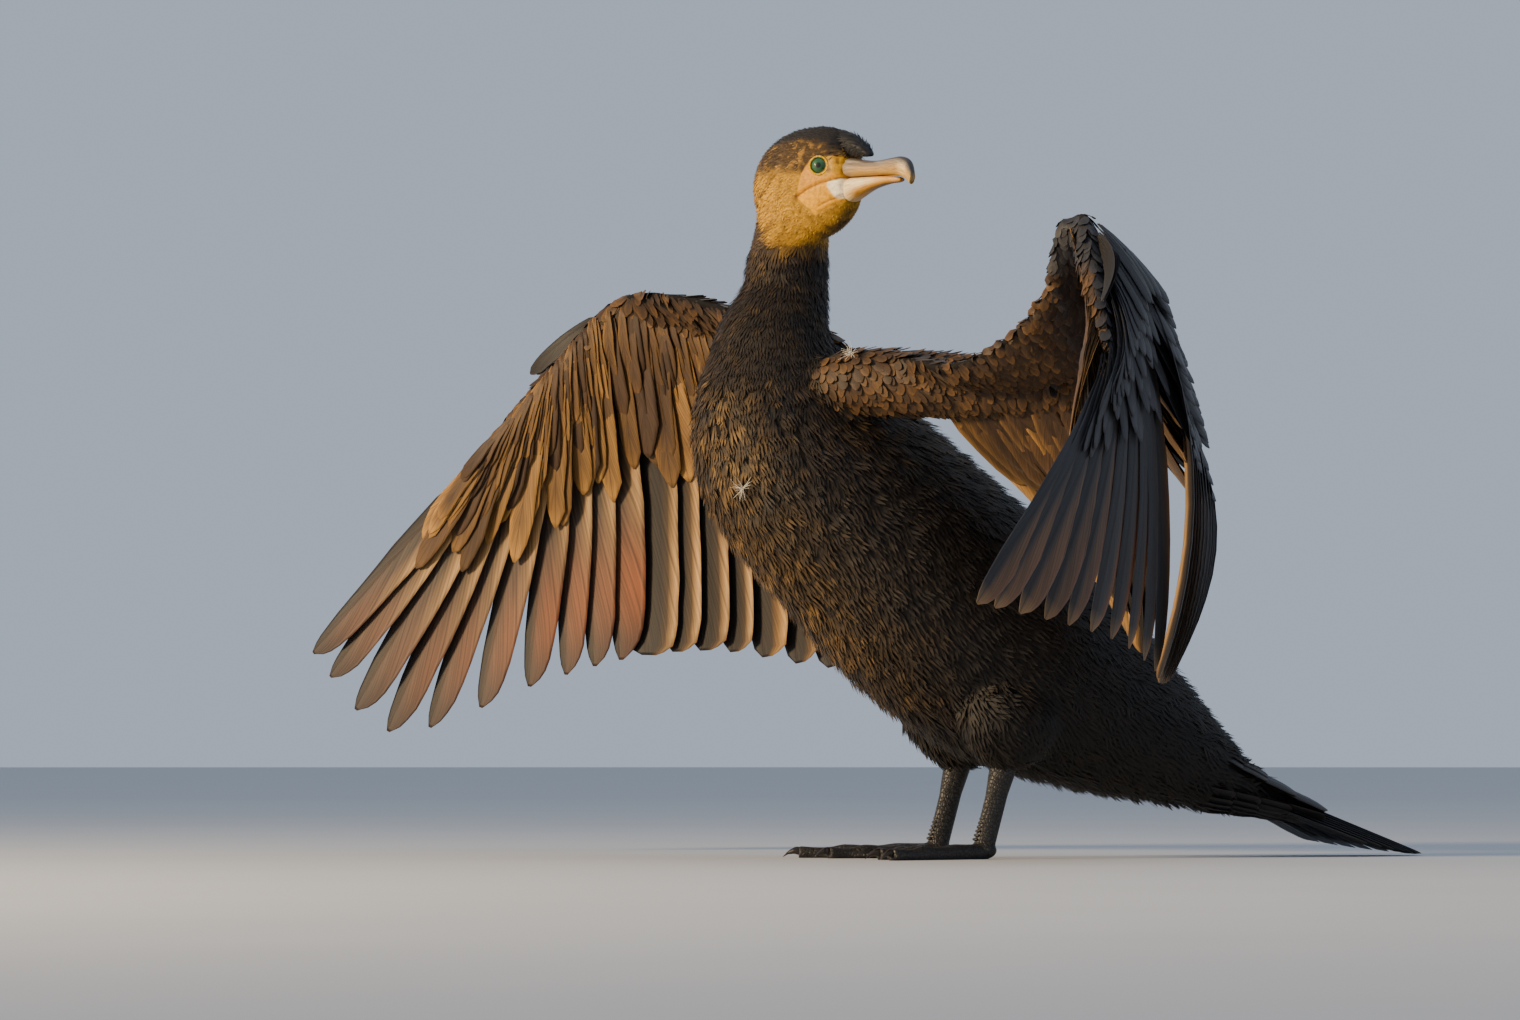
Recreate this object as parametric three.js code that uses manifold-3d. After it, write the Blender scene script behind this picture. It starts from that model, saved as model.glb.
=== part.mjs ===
// Great cormorant, life size, standing upright with both wings spread to dry.
// Millimetres, +Z up. The bird faces -Y, its left side is +X, and the floor is Z = 0.
// The body is lofted along its spine and parted with thin flat gaps. Each wing is an
// upper arm, a forearm and a hand, with flight feathers and coverts as overlapping vanes.
import * as THREE from "three";
import { mergeVertices } from "three/addons/utils/BufferGeometryUtils.js";
import Module from "manifold-3d";

const wasm = await Module();
wasm.setup();

// Clearance between nodes that touch
const GAP = 0.35;

// Spine stations from inside the head down to the tail root:
// centre y, centre z, half depth, half width
const SPINE = [
  [-120, 448, 17, 17],
  [-130, 428, 24, 24],
  [-134, 404, 26, 26],
  [-137, 386, 28, 28],
  [-139, 366, 31, 31],
  [-146, 329, 46, 44],
  [-134, 271, 72, 62],
  [-71, 212, 81, 74],
  [-33, 178, 84, 76],
  [4, 151, 83, 75],
  [44, 126, 77, 70],
  [98, 96, 60, 58],
  [138, 75, 44, 44],
  [182, 52, 24, 28],
];
// Spine stations at which one node ends and the next begins
const HEAD_CUT = 2.6;
const NECK_MID = 3.6;
const NECK_ROOT = 5;
const TAIL_ROOT = 13;

// Head: the point between the eyes, and how far it is turned to the bird's left of +X
const EYE_LEVEL = [41.6, -122.4, 449.5];
const HEAD_YAW = THREE.MathUtils.degToRad(17);
// Head sections along its own forward axis: forward, top, bottom, half width
const SKULL = [
  [-64, -2, -25, 10],
  [-60, 11, -36, 18],
  [-49, 21, -44, 24],
  [-32, 27, -48, 25.5],
  [-13, 28.5, -47, 23.5],
  [2, 26.5, -42, 20],
  [12, 20.5, -35, 15.5],
  [18, 9, -28, 12],
];
const EYE_RADIUS = 7;
const EYE_SIDE = 14.4;
const LID_RADIUS = 5.9;
const LID_THICKNESS = 1.5;
const GAPE_CORNER = [-12, -20];
const BILL_START = 18;
// Bill sections along the head's forward axis: forward, top, bottom, half width
const UPPER_BILL = [
  [0, 6.6, -8, 10.5],
  [12, 3.4, -8, 8.6],
  [26, 1.8, -8.2, 6.8],
  [39, 2.8, -8.6, 5.8],
  [47, 3.2, -9.8, 5.4],
  [53, 0.4, -12, 4],
  [56, -6.4, -15, 2.2],
];
const LOWER_BILL = [
  [0, -8.4, -27, 10],
  [10, -8.5, -21.5, 8.4],
  [22, -8.7, -16.4, 6.2],
  [35, -9.1, -13.8, 4.8],
  [43, -10.2, -13.4, 3.4],
  [46, -11.4, -12.8, 2.0],
];

// Legs: stance half width, joints in y and z, and the foot's toes
const STANCE = 34;
const ANKLE = [5, 61];
const FOOT_JOINT = [-11, 7];
const FOOT_YAW = THREE.MathUtils.degToRad(6);
const THIGH_RINGS = [
  [46, -2, 122, 20, 16],
  [45, 2, 102, 36, 25],
  [42, 5, 84, 36, 25],
  [38, 6, 70, 24, 18],
  [STANCE, ANKLE[0], ANKLE[1], 10.5, 9.5],
];
// Toes: length with claw, angle outwards from straight ahead in degrees, root radius
const TOES = [
  [104, 17, 6],
  [90, -3, 6],
  [64, -24, 5.4],
  [38, -62, 4.6],
];
const CLAW_LENGTH = 12;
const WEB_THICKNESS = 2.2;

// Tail: length from its root, slope down to the floor, and its feathers
const TAIL_LENGTH = 163;
const TAIL_SLOPE = THREE.MathUtils.degToRad(18.4);
const RECTRICES = 14;
const TAIL_FAN = THREE.MathUtils.degToRad(15);
const TAIL_VANE_WIDTH = 21;
// Outer tail feathers are shorter by up to this much, and all root this far down the tail
const TAIL_STEP = 58;
const TAIL_SEAT = 22;
const TAIL_COVERTS = 5;
// The fleshy root of the tail: how far along, half width, half depth
const TAIL_CORE = [[16, 25, 20], [34, 20, 13], [50, 13, 7], [58, 6, 3]];

// Wings: joints, then the line through the feather tips from the outermost primary
// to the innermost tertial, and how high the flight feathers bow at mid length
const WINGS = {
  left: {
    shoulder: [59, -111, 308],
    elbow: [169, 27, 296],
    bows: { hand: 14, forearm: 30, upper_arm: 14 },
    wrist: [284, -67, 396],
    fingertip: [350, -85, 317],
    tips: [
      [437, -218, 159],
      [395, -150, 150],
      [349, -78, 138],
      [305, -26, 118],
      [248, -2, 112],
      [200, 30, 116],
      [152, 58, 130],
      [110, 68, 150],
    ],
  },
  right: {
    shoulder: [-55, -106, 312],
    elbow: [-186, -20, 335],
    bows: { hand: 10, forearm: 10, upper_arm: 10 },
    wrist: [-306, -122, 372],
    fingertip: [-382, -190, 275],
    tips: [
      [-492, -274, 140],
      [-440, -238, 84],
      [-363, -158, 118],
      [-318, -108, 135],
      [-262, -70, 139],
      [-198, -24, 128],
      [-140, 22, 125],
      [-98, 52, 140],
    ],
  },
};
// Shares of each arm length between which its flight feathers root
const FEATHER_SPAN = { hand: [0.12, 0.97], forearm: [0.08, 0.9], upper_arm: [0.34, 0.8] };
const PRIMARIES = 10;
const SECONDARIES = 10;
const TERTIALS = 3;
// How far each vane rolls so that its leading edge lies over its outer neighbour
const LOUVER = THREE.MathUtils.degToRad(10);
const NORMAL_SMOOTHING = 4;
// Each feather lies at least this much higher than its outer neighbour
const STACK = 0.7;
const TERTIAL_TUCK = 9;
const VANE_WIDTHS = {
  hand: { lead: 8, trail: 21 },
  forearm: { lead: 11, trail: 20 },
  upper_arm: { lead: 12, trail: 18 },
};
const VANE_THICKNESS = 0.6;
// How far down from the bone each flight feather roots
const QUILL_SINK = 7;
// Share of the bow by which upper coverts root higher, to clear the bowed flight feathers
const SEAT_LIFT = 0.14;

// Plain colours, roughness
const DARK_PLUMAGE = [0x241c17, 0.8];
const WING_PLUMAGE = [0x5b4632, 0.75];
const HEAD_PLUMAGE = [0x4a3826, 0.8];
const HORN = [0x8d8478, 0.5];
const SKIN = [0x1c1b1b, 0.6];
const IRIS = [0x1f8a5b, 0.15];

const vec = (point) => new THREE.Vector3(...point);

// Solids from meshes and back

function toSolid(geometry) {
  const bare = geometry.clone();
  bare.deleteAttribute("normal");
  bare.deleteAttribute("uv");
  const merged = mergeVertices(bare, 1e-5);
  return new wasm.Manifold(new wasm.Mesh({
    numProp: 3,
    vertProperties: new Float32Array(merged.attributes.position.array),
    triVerts: new Uint32Array(merged.index.array),
  }));
}

function largest(solid) {
  const pieces = solid.decompose();
  return pieces.reduce((best, piece) => (piece.volume() > best.volume() ? piece : best));
}

function toMesh(name, solid, [colour, roughness]) {
  const { vertProperties, triVerts } = largest(solid).getMesh();
  const geometry = new THREE.BufferGeometry();
  geometry.setAttribute("position", new THREE.BufferAttribute(vertProperties, 3));
  geometry.setIndex(new THREE.BufferAttribute(triVerts, 1));
  geometry.computeVertexNormals();
  const material = new THREE.MeshStandardMaterial({ color: colour, roughness, metalness: 0 });
  const mesh = new THREE.Mesh(geometry, material);
  mesh.name = name;
  return mesh;
}

const join = (solids) => wasm.Manifold.union(solids);

function signedVolume(positions, index) {
  const corner = (i) => new THREE.Vector3().fromArray(positions, index[i] * 3);
  let total = 0;
  for (let i = 0; i < index.length; i += 3) {
    total += corner(i).dot(corner(i + 1).cross(corner(i + 2)));
  }
  return total / 6;
}

function closedGeometry(positions, index) {
  if (signedVolume(positions, index) < 0) {
    for (let i = 0; i < index.length; i += 3) {
      [index[i], index[i + 1]] = [index[i + 1], index[i]];
    }
  }
  const geometry = new THREE.BufferGeometry();
  geometry.setAttribute("position", new THREE.Float32BufferAttribute(positions, 3));
  geometry.setIndex(index);
  return geometry;
}

// A closed tube through rings of equal count, with a flat cap at each end
function tube(rings) {
  const around = rings[0].length;
  const positions = rings.flat().flatMap((point) => point.toArray());
  const index = [];
  for (let i = 0; i < rings.length - 1; i += 1) {
    for (let k = 0; k < around; k += 1) {
      const a = i * around + k;
      const b = i * around + ((k + 1) % around);
      index.push(a, b, a + around, b, b + around, a + around);
    }
  }
  [0, rings.length - 1].forEach((end, side) => {
    const middle = new THREE.Vector3();
    rings[end].forEach((point) => middle.addScaledVector(point, 1 / around));
    const centre = positions.length / 3;
    positions.push(...middle.toArray());
    for (let k = 0; k < around; k += 1) {
      const a = end * around + k;
      const b = end * around + ((k + 1) % around);
      index.push(...(side === 0 ? [b, a, centre] : [a, b, centre]));
    }
  });
  return closedGeometry(positions, index);
}

// Points of an ellipse about a centre, with half sizes along two axes
function ring(centre, axisU, axisV, sizeU, sizeV, count) {
  return Array.from({ length: count }, (_, k) => {
    const angle = (2 * Math.PI * k) / count;
    return centre.clone()
      .addScaledVector(axisU, sizeU * Math.cos(angle))
      .addScaledVector(axisV, sizeV * Math.sin(angle));
  });
}

// Smooth values through rows of equal length, at a fractional row number
function between(rows, at) {
  const last = rows.length - 1;
  const i = Math.min(Math.max(Math.floor(at), 0), last - 1);
  const t = at - i;
  return rows[i].map((_, column) => {
    const p0 = rows[Math.max(i - 1, 0)][column];
    const p1 = rows[i][column];
    const p2 = rows[i + 1][column];
    const p3 = rows[Math.min(i + 2, last)][column];
    const m1 = (p2 - p0) / 2;
    const m2 = (p3 - p1) / 2;
    const t2 = t * t;
    const t3 = t2 * t;
    return (2 * t3 - 3 * t2 + 1) * p1 + (t3 - 2 * t2 + t) * m1
      + (3 * t2 - 2 * t3) * p2 + (t3 - t2) * m2;
  });
}

// Body

// Spine frame at a station: centre, direction towards the tail, and the way to the back
function spineFrame(at) {
  const step = 0.02;
  const [y, z, depth, width] = between(SPINE, at);
  const before = between(SPINE, Math.max(at - step, 0));
  const after = between(SPINE, Math.min(at + step, SPINE.length - 1));
  const along = new THREE.Vector3(0, after[0] - before[0], after[1] - before[1]).normalize();
  const back = new THREE.Vector3(0, -along.z, along.y);
  return { centre: new THREE.Vector3(0, y, z), along, back, depth, width };
}

// The body between two stations, grown by a clearance where it cuts its neighbours
function bodyLength(from, to, steps, grow = 0) {
  const rings = [];
  for (let i = 0; i <= steps; i += 1) {
    const frame = spineFrame(from + ((to - from) * i) / steps);
    const inset = (i === 0 ? 1 : 0) - (i === steps ? 1 : 0);
    frame.centre.addScaledVector(frame.along, inset * (GAP / 2 - grow));
    rings.push(ring(frame.centre, new THREE.Vector3(1, 0, 0), frame.back,
      frame.width + grow, frame.depth + grow, 20));
  }
  return tube(rings);
}

const torsoSolid = (grow) => toSolid(bodyLength(NECK_ROOT, TAIL_ROOT, 14, grow));
const lowerNeckSolid = (grow) => toSolid(bodyLength(NECK_MID, NECK_ROOT, 4, grow));

// Head, in its own frame: +X forward, +Y to its left, origin between the eyes

function headRings(rows, start, steps, count) {
  const rings = [];
  for (let i = 0; i <= steps; i += 1) {
    const [forward, top, bottom, width] = between(rows, ((rows.length - 1) * i) / steps);
    const centre = new THREE.Vector3(start + forward, 0, (top + bottom) / 2);
    rings.push(ring(centre, new THREE.Vector3(0, 1, 0), new THREE.Vector3(0, 0, 1),
      width, (top - bottom) / 2, count));
  }
  return rings;
}

// A thin wedge along each side that marks the line of the mouth
function mouthGroove(side) {
  const [cornerX, cornerZ] = GAPE_CORNER;
  const lip = new THREE.Shape([
    new THREE.Vector2(cornerX, cornerZ),
    new THREE.Vector2(BILL_START + 1, -9.2),
    new THREE.Vector2(BILL_START + 1, -7.2),
  ]);
  const depth = 16;
  const wedge = new THREE.ExtrudeGeometry(lip, { depth, bevelEnabled: false });
  wedge.rotateX(Math.PI / 2);
  wedge.translate(0, side > 0 ? 9.5 + depth : -9.5, 0);
  return toSolid(wedge);
}

function eyeGeometry(side, grow = 0) {
  const eye = new THREE.SphereGeometry(EYE_RADIUS + grow, 12, 7);
  eye.translate(0, side * EYE_SIDE, 0);
  return eye;
}

function lidRing(side) {
  const lid = new THREE.TorusGeometry(LID_RADIUS, LID_THICKNESS, 5, 12);
  lid.rotateX(Math.PI / 2);
  lid.translate(0, side * (EYE_SIDE + 4.4), 0);
  return toSolid(lid);
}

function headSolid(toHead) {
  const neckEnd = bodyLength(0, HEAD_CUT, 4);
  const neckBelow = bodyLength(HEAD_CUT, NECK_MID, 3, GAP);
  [neckEnd, neckBelow].forEach((length) => length.applyMatrix4(toHead));
  let head = join([
    toSolid(tube(headRings(SKULL, 0, 12, 18))),
    toSolid(neckEnd),
    lidRing(1),
    lidRing(-1),
  ]).subtract(toSolid(neckBelow));
  [1, -1].forEach((side) => {
    head = head.subtract(toSolid(eyeGeometry(side, GAP)));
    head = head.subtract(mouthGroove(side));
  });
  return head;
}

function upperBillSolid() {
  const bill = toSolid(tube(headRings(UPPER_BILL, BILL_START + GAP, 9, 12)));
  const slot = 1.1;
  const nostrils = [1, -1].map((side) => {
    const groove = new THREE.BoxGeometry(22, 3, slot);
    groove.rotateY(-0.04);
    groove.translate(BILL_START + 18, side * 9.4, 1.6);
    return toSolid(groove);
  });
  return nostrils.reduce((left, groove) => left.subtract(groove), bill);
}

// Legs and feet

function thighSolid(side) {
  const rings = THIGH_RINGS.map(([x, y, z, depth, width]) => ring(
    new THREE.Vector3(side * x, y, z),
    new THREE.Vector3(1, 0, 0),
    new THREE.Vector3(0, 1, 0),
    width,
    depth,
    14,
  ));
  return toSolid(tube(rings)).subtract(torsoSolid(GAP));
}

// The shank from the ankle down, as rings on fractions of its length
function shank(from, to, sizes) {
  const top = new THREE.Vector3(0, ANKLE[0], ANKLE[1]);
  const foot = new THREE.Vector3(0, FOOT_JOINT[0], FOOT_JOINT[1]);
  const rings = sizes.map(([width, depth], i) => {
    const at = from + ((to - from) * i) / (sizes.length - 1);
    return ring(top.clone().lerp(foot, at), new THREE.Vector3(1, 0, 0),
      new THREE.Vector3(0, 1, 0), width, depth, 10);
  });
  return tube(rings);
}

function legSolid() {
  return toSolid(shank(0.008, 0.78, [[9, 10], [8, 9.6], [5, 8.4], [4.6, 8], [5, 8]]));
}

// One toe lying on the floor, with three pads and a hooked claw, pointing along +X
function toeRings(length, radius) {
  const body = length - CLAW_LENGTH;
  const bulges = [[0, 1], [0.3, 1], [0.5, 0.82], [0.68, 0.92], [0.86, 0.7], [1, 0.8]];
  const side = new THREE.Vector3(0, 1, 0);
  const up = new THREE.Vector3(0, 0, 1);
  const rings = bulges.map(([at, size]) => ring(
    new THREE.Vector3(body * at, 0, radius * size * 0.72), side, up,
    radius * size, radius * size, 6,
  ));
  [[0.4, 0.42, 0.6], [1, 0.1, 0.2]].forEach(([at, size, height]) => {
    rings.push(ring(new THREE.Vector3(body + CLAW_LENGTH * at, 0, radius * height), side, up,
      radius * size * 0.8, radius * size, 6));
  });
  return rings;
}

const toeTip = ([length, angle], share) => new THREE.Vector2(
  length * share * Math.cos(THREE.MathUtils.degToRad(angle)),
  length * share * Math.sin(THREE.MathUtils.degToRad(angle)),
);

// The web between two neighbouring toes, with a hollow front edge
function webSolid(outer, inner) {
  const reach = 0.86;
  const a = toeTip(outer, reach);
  const b = toeTip(inner, reach);
  const bay = a.clone().add(b).multiplyScalar(0.43);
  const shape = new THREE.Shape();
  shape.moveTo(0, 0);
  shape.lineTo(b.x, b.y);
  shape.quadraticCurveTo(bay.x, bay.y, a.x, a.y);
  shape.lineTo(0, 0);
  const web = new THREE.ExtrudeGeometry(shape, {
    depth: WEB_THICKNESS + 1, bevelEnabled: false, curveSegments: 5,
  });
  web.translate(0, 0, -1);
  return toSolid(web);
}

// The foot in its own frame: +X ahead, +Y outwards, heel joint over the origin
function footSolid(side) {
  const turn = new THREE.Matrix4().makeRotationZ(side * FOOT_YAW - Math.PI / 2);
  const place = new THREE.Matrix4().makeTranslation(0, FOOT_JOINT[0], 0).multiply(turn);
  const mirror = new THREE.Matrix4().makeScale(1, side, 1);
  const toes = TOES.map(([length, angle, radius]) => {
    const toe = tube(toeRings(length, radius));
    toe.rotateZ(THREE.MathUtils.degToRad(angle));
    return toSolid(toe);
  });
  const webs = [0, 1, 2].map((i) => webSolid(TOES[i], TOES[i + 1]));
  const heel = new THREE.SphereGeometry(8.4, 10, 6);
  heel.scale(1.1, 0.9, 0.8);
  heel.translate(0, 0, 5);
  const pad = join([...toes, ...webs, toSolid(heel)])
    .transform(mirror.elements)
    .transform(place.elements);
  const stub = toSolid(shank(0.787, 1, [[5, 8], [5.4, 8.4], [5, 7]]));
  return join([pad, stub]).trimByPlane([0, 0, 1], 0);
}

// Feathers

// Share of the full width along a feather, with a bare quill and a rounded tip
const FLIGHT_SHAPE = [[0, 0.12], [0.12, 0.16], [0.28, 0.85], [0.8, 1], [0.95, 0.62], [1, 0.18]];
const COVERT_SHAPE = [[0, 0.2], [0.35, 0.85], [0.84, 0.92], [1, 0.25]];

// One vane from root to tip. `normal` is its upper side and `toward` its leading side;
// it rolls about its shaft by `roll` and bows up by `bow` at mid length.
function vane({
  root, tip, normal, tipNormal = normal, lead, trail, roll = 0, bow = 0, shape = FLIGHT_SHAPE,
}) {
  const axis = tip.clone().sub(root);
  const along = axis.clone().normalize();
  const positions = [];
  shape.forEach(([at, share]) => {
    const up = normal.clone().lerp(tipNormal, at);
    up.addScaledVector(along, -up.dot(along)).normalize().applyAxisAngle(along, roll);
    const side = new THREE.Vector3().crossVectors(up, along);
    const centre = root.clone().addScaledVector(axis, at)
      .addScaledVector(up, bow * 4 * at * (1 - at));
    const half = (VANE_THICKNESS / 2) * (at < 0.15 ? 2.2 : 1);
    const edge = (reach, height) => centre.clone()
      .addScaledVector(side, reach * share).addScaledVector(up, height).toArray();
    positions.push(...edge(lead, half), ...edge(-trail, half),
      ...edge(-trail, -half), ...edge(lead, -half));
  });
  const index = [0, 2, 1, 0, 3, 2];
  const last = (shape.length - 1) * 4;
  index.push(last, last + 1, last + 2, last, last + 2, last + 3);
  for (let i = 0; i < last; i += 4) {
    const [lt, tt, tb, lb] = [i, i + 1, i + 2, i + 3];
    index.push(lt, tt, lt + 4, tt, tt + 4, lt + 4);
    index.push(lb, lb + 4, tb, tb, lb + 4, tb + 4);
    index.push(tt, tb, tt + 4, tb, tb + 4, tt + 4);
    index.push(lb, lt, lb + 4, lt, lt + 4, lb + 4);
  }
  return toSolid(closedGeometry(positions, index));
}

// Tail

function tailSolid() {
  const root = spineFrame(TAIL_ROOT);
  const along = new THREE.Vector3(0, Math.cos(TAIL_SLOPE), -Math.sin(TAIL_SLOPE));
  const up = new THREE.Vector3(0, Math.sin(TAIL_SLOPE), Math.cos(TAIL_SLOPE));
  const side = new THREE.Vector3(1, 0, 0);
  const spot = (x, y, z) => root.centre.clone()
    .addScaledVector(along, x).addScaledVector(side, y).addScaledVector(up, z);
  const start = ring(root.centre.clone().addScaledVector(root.along, GAP / 2), side, root.back,
    root.width, root.depth, 20);
  const core = [start].concat(TAIL_CORE.map(
    ([x, width, depth]) => ring(spot(x, 0, 0), side, up, width, depth, 20),
  ));
  const pieces = [toSolid(tube(core))];
  const middle = (RECTRICES - 1) / 2;
  for (let k = 0; k < RECTRICES; k += 1) {
    const out = (k - middle) / middle;
    const rank = 2 * Math.floor(Math.abs(k - middle)) + (k > middle ? 1 : 0);
    const reach = TAIL_LENGTH - TAIL_SEAT - TAIL_STEP * Math.abs(out) ** 1.4;
    const level = 6.2 - rank * 0.98;
    const angle = out * TAIL_FAN;
    const rootY = out * 15;
    pieces.push(vane({
      root: spot(TAIL_SEAT, rootY, level),
      tip: spot(TAIL_SEAT + reach * Math.cos(angle), rootY + reach * Math.sin(angle), level - 5),
      normal: up,
      lead: TAIL_VANE_WIDTH / 2,
      trail: TAIL_VANE_WIDTH / 2,
    }));
  }
  [1, -1].forEach((face) => {
    for (let k = 0; k < TAIL_COVERTS; k += 1) {
      const out = (2 * k) / (TAIL_COVERTS - 1) - 1;
      const level = 0.9 * (TAIL_COVERTS - k);
      pieces.push(vane({
        root: spot(14, out * 15, face * (9 + level)),
        tip: spot(84 - 14 * Math.abs(out), out * 26, face > 0 ? 7.5 + level : -11.5 - level),
        normal: up,
        lead: 9,
        trail: 9,
        bow: face * 3,
        shape: COVERT_SHAPE,
      }));
    }
  });
  return join(pieces).trimByPlane([0, 0, 1], 0);
}

// Wings

// The line through the tips, from the outermost feather at 0 to the innermost at 1
function tipAt(wing, share) {
  return vec(between(wing.tips, share * (wing.tips.length - 1)));
}

// One arm length: half chord, half thickness and offset up from the bone at its start,
// middle and end, with how far it runs on past each joint before it is trimmed
const ARM_SECTIONS = {
  hand: {
    from: "wrist",
    to: "fingertip",
    past: [16, 6],
    sizes: [[15, 10, 0], [12, 9, 0], [7, 7, 0]],
  },
  forearm: {
    from: "elbow",
    to: "wrist",
    past: [24, 16],
    sizes: [[22, 13, 6], [17, 11, 3], [15, 10, 0]],
  },
  upper_arm: {
    from: "shoulder",
    to: "elbow",
    past: [30, 24],
    sizes: [[26, 22, 2], [23, 16, 4], [22, 13, 6]],
  },
};

function armTube(wing, node, hang, grow) {
  const { from, to, past, sizes } = ARM_SECTIONS[node];
  const start = vec(wing[from]);
  const along = vec(wing[to]).sub(start);
  const length = along.length();
  along.normalize();
  const chord = hang.clone().negate();
  chord.addScaledVector(along, -chord.dot(along)).normalize();
  const across = new THREE.Vector3().crossVectors(along, chord);
  const steps = 6;
  const rings = [];
  for (let i = 0; i <= steps; i += 1) {
    const at = -past[0] + ((length + past[0] + past[1]) * i) / steps;
    const share = THREE.MathUtils.clamp(at / length, 0, 1);
    const [half, thick, offset] = between(sizes, share * (sizes.length - 1));
    const centre = start.clone().addScaledVector(along, at).addScaledVector(chord, offset);
    rings.push(ring(centre, chord, across, half + grow, thick + grow, 12));
  }
  return toSolid(tube(rings));
}

// Keeps one side of the plane that parts two arm lengths at their joint
function trimAt(solid, wing, [before, joint, after], keepAfter, grow) {
  const middle = vec(wing[joint]);
  const inward = middle.clone().sub(vec(wing[before])).normalize();
  const outward = vec(wing[after]).sub(middle).normalize();
  const normal = inward.add(outward).normalize();
  if (!keepAfter) {
    normal.negate();
  }
  return solid.trimByPlane(normal.toArray(), normal.dot(middle) + GAP / 2 - grow);
}

const ELBOW_BEND = ["shoulder", "elbow", "wrist"];
const WRIST_BEND = ["elbow", "wrist", "fingertip"];

// The arm length of a node, grown by a clearance where it cuts its neighbours
function armCore(wing, node, hang, grow) {
  let core = armTube(wing, node, hang, grow);
  if (node !== "hand") {
    core = trimAt(core, wing, node === "forearm" ? WRIST_BEND : ELBOW_BEND, false, grow);
  }
  if (node !== "upper_arm") {
    core = trimAt(core, wing, node === "forearm" ? ELBOW_BEND : WRIST_BEND, true, grow);
  }
  return core;
}

// Evens out the upper sides up to the elbow and past it, then lifts each feather clear of
// the one outside it. Those of the upper arm tuck in under the innermost of the forearm.
function settleFeathers(feathers) {
  const sides = ["normal", "tipNormal"];
  const isUpper = (feather) => feather.node === "upper_arm";
  const sameRun = (i, j) => feathers[j] && isUpper(feathers[j]) === isUpper(feathers[i]);
  for (let pass = 0; pass < NORMAL_SMOOTHING; pass += 1) {
    sides.forEach((which) => {
      const before = feathers.map((feather) => feather[which].clone());
      feathers.forEach((feather, i) => {
        [i - 1, i + 1].filter((j) => sameRun(i, j)).forEach((j) => feather[which].add(before[j]));
        feather[which].normalize();
      });
    });
  }
  feathers.forEach((feather, i) => {
    if (isUpper(feather)) {
      feather.tip.addScaledVector(feather.tipNormal, -TERTIAL_TUCK);
    }
    const outer = feathers[i - 1];
    if (sameRun(i, i - 1)) {
      [["root", "normal"], ["tip", "tipNormal"]].forEach(([end, which]) => {
        const rise = feather[end].clone().sub(outer[end]).dot(feather[which]);
        feather[end].addScaledVector(feather[which], Math.max(STACK - rise, 0));
      });
    }
  });
}

// All flight feathers of a wing, outermost first: root, tip, upper side and node
function flightFeathers(wing) {
  const counts = { hand: PRIMARIES, forearm: SECONDARIES, upper_arm: TERTIALS };
  const feathers = [];
  const total = PRIMARIES + SECONDARIES + TERTIALS;
  Object.entries(counts).forEach(([node, count]) => {
    const start = vec(wing[ARM_SECTIONS[node].from]);
    const end = vec(wing[ARM_SECTIONS[node].to]);
    for (let k = 0; k < count; k += 1) {
      const [inmost, outmost] = FEATHER_SPAN[node];
      const share = outmost + ((inmost - outmost) * k) / (count - 1);
      const tip = tipAt(wing, feathers.length / (total - 1));
      const bone = start.clone().lerp(end, share);
      const hang = tip.clone().sub(bone).normalize();
      const root = bone.clone().addScaledVector(hang, QUILL_SINK);
      feathers.push({ node, root, tip, bone, hang });
    }
  });
  const upperSide = (spread, hang) => {
    const normal = new THREE.Vector3().crossVectors(spread, hang).normalize();
    return normal.y + 0.2 * normal.z < 0 ? normal.negate() : normal;
  };
  feathers.forEach((feather, i) => {
    const outer = feathers[Math.max(i - 1, 0)];
    const inner = feathers[Math.min(i + 1, total - 1)];
    const tipSpread = outer.tip.clone().sub(inner.tip);
    const rootSpread = outer.root.clone().sub(inner.root).addScaledVector(tipSpread, 0.25);
    feather.normal = upperSide(rootSpread, feather.hang);
    feather.tipNormal = upperSide(tipSpread, feather.hang);
    feather.toward = tipSpread.add(rootSpread);
    feather.toward.addScaledVector(feather.hang, -feather.toward.dot(feather.hang)).normalize();
  });
  settleFeathers(feathers);
  return feathers;
}

// Coverts: height over the flight feathers at the tip and at the root, how far the root is
// up from the bone, share of their length, one on every `every`, and half widths. Those on
// the hand are narrower, as its feathers run close together.
const COVERT_TIERS = [
  { height: 6, seat: 5, rise: 0, share: 0.42, every: 2, lead: 12, trail: 17 },
  { height: 11, seat: 8, rise: 7, share: 0.24, every: 3, lead: 16, trail: 20 },
  { height: -6, seat: -5, rise: 0, share: 0.42, every: 2, lead: 12, trail: 17 },
  { height: -11, seat: -8, rise: 7, share: 0.24, every: 3, lead: 16, trail: 20 },
];
const HAND_COVERT_WIDTH = 0.7;

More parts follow.
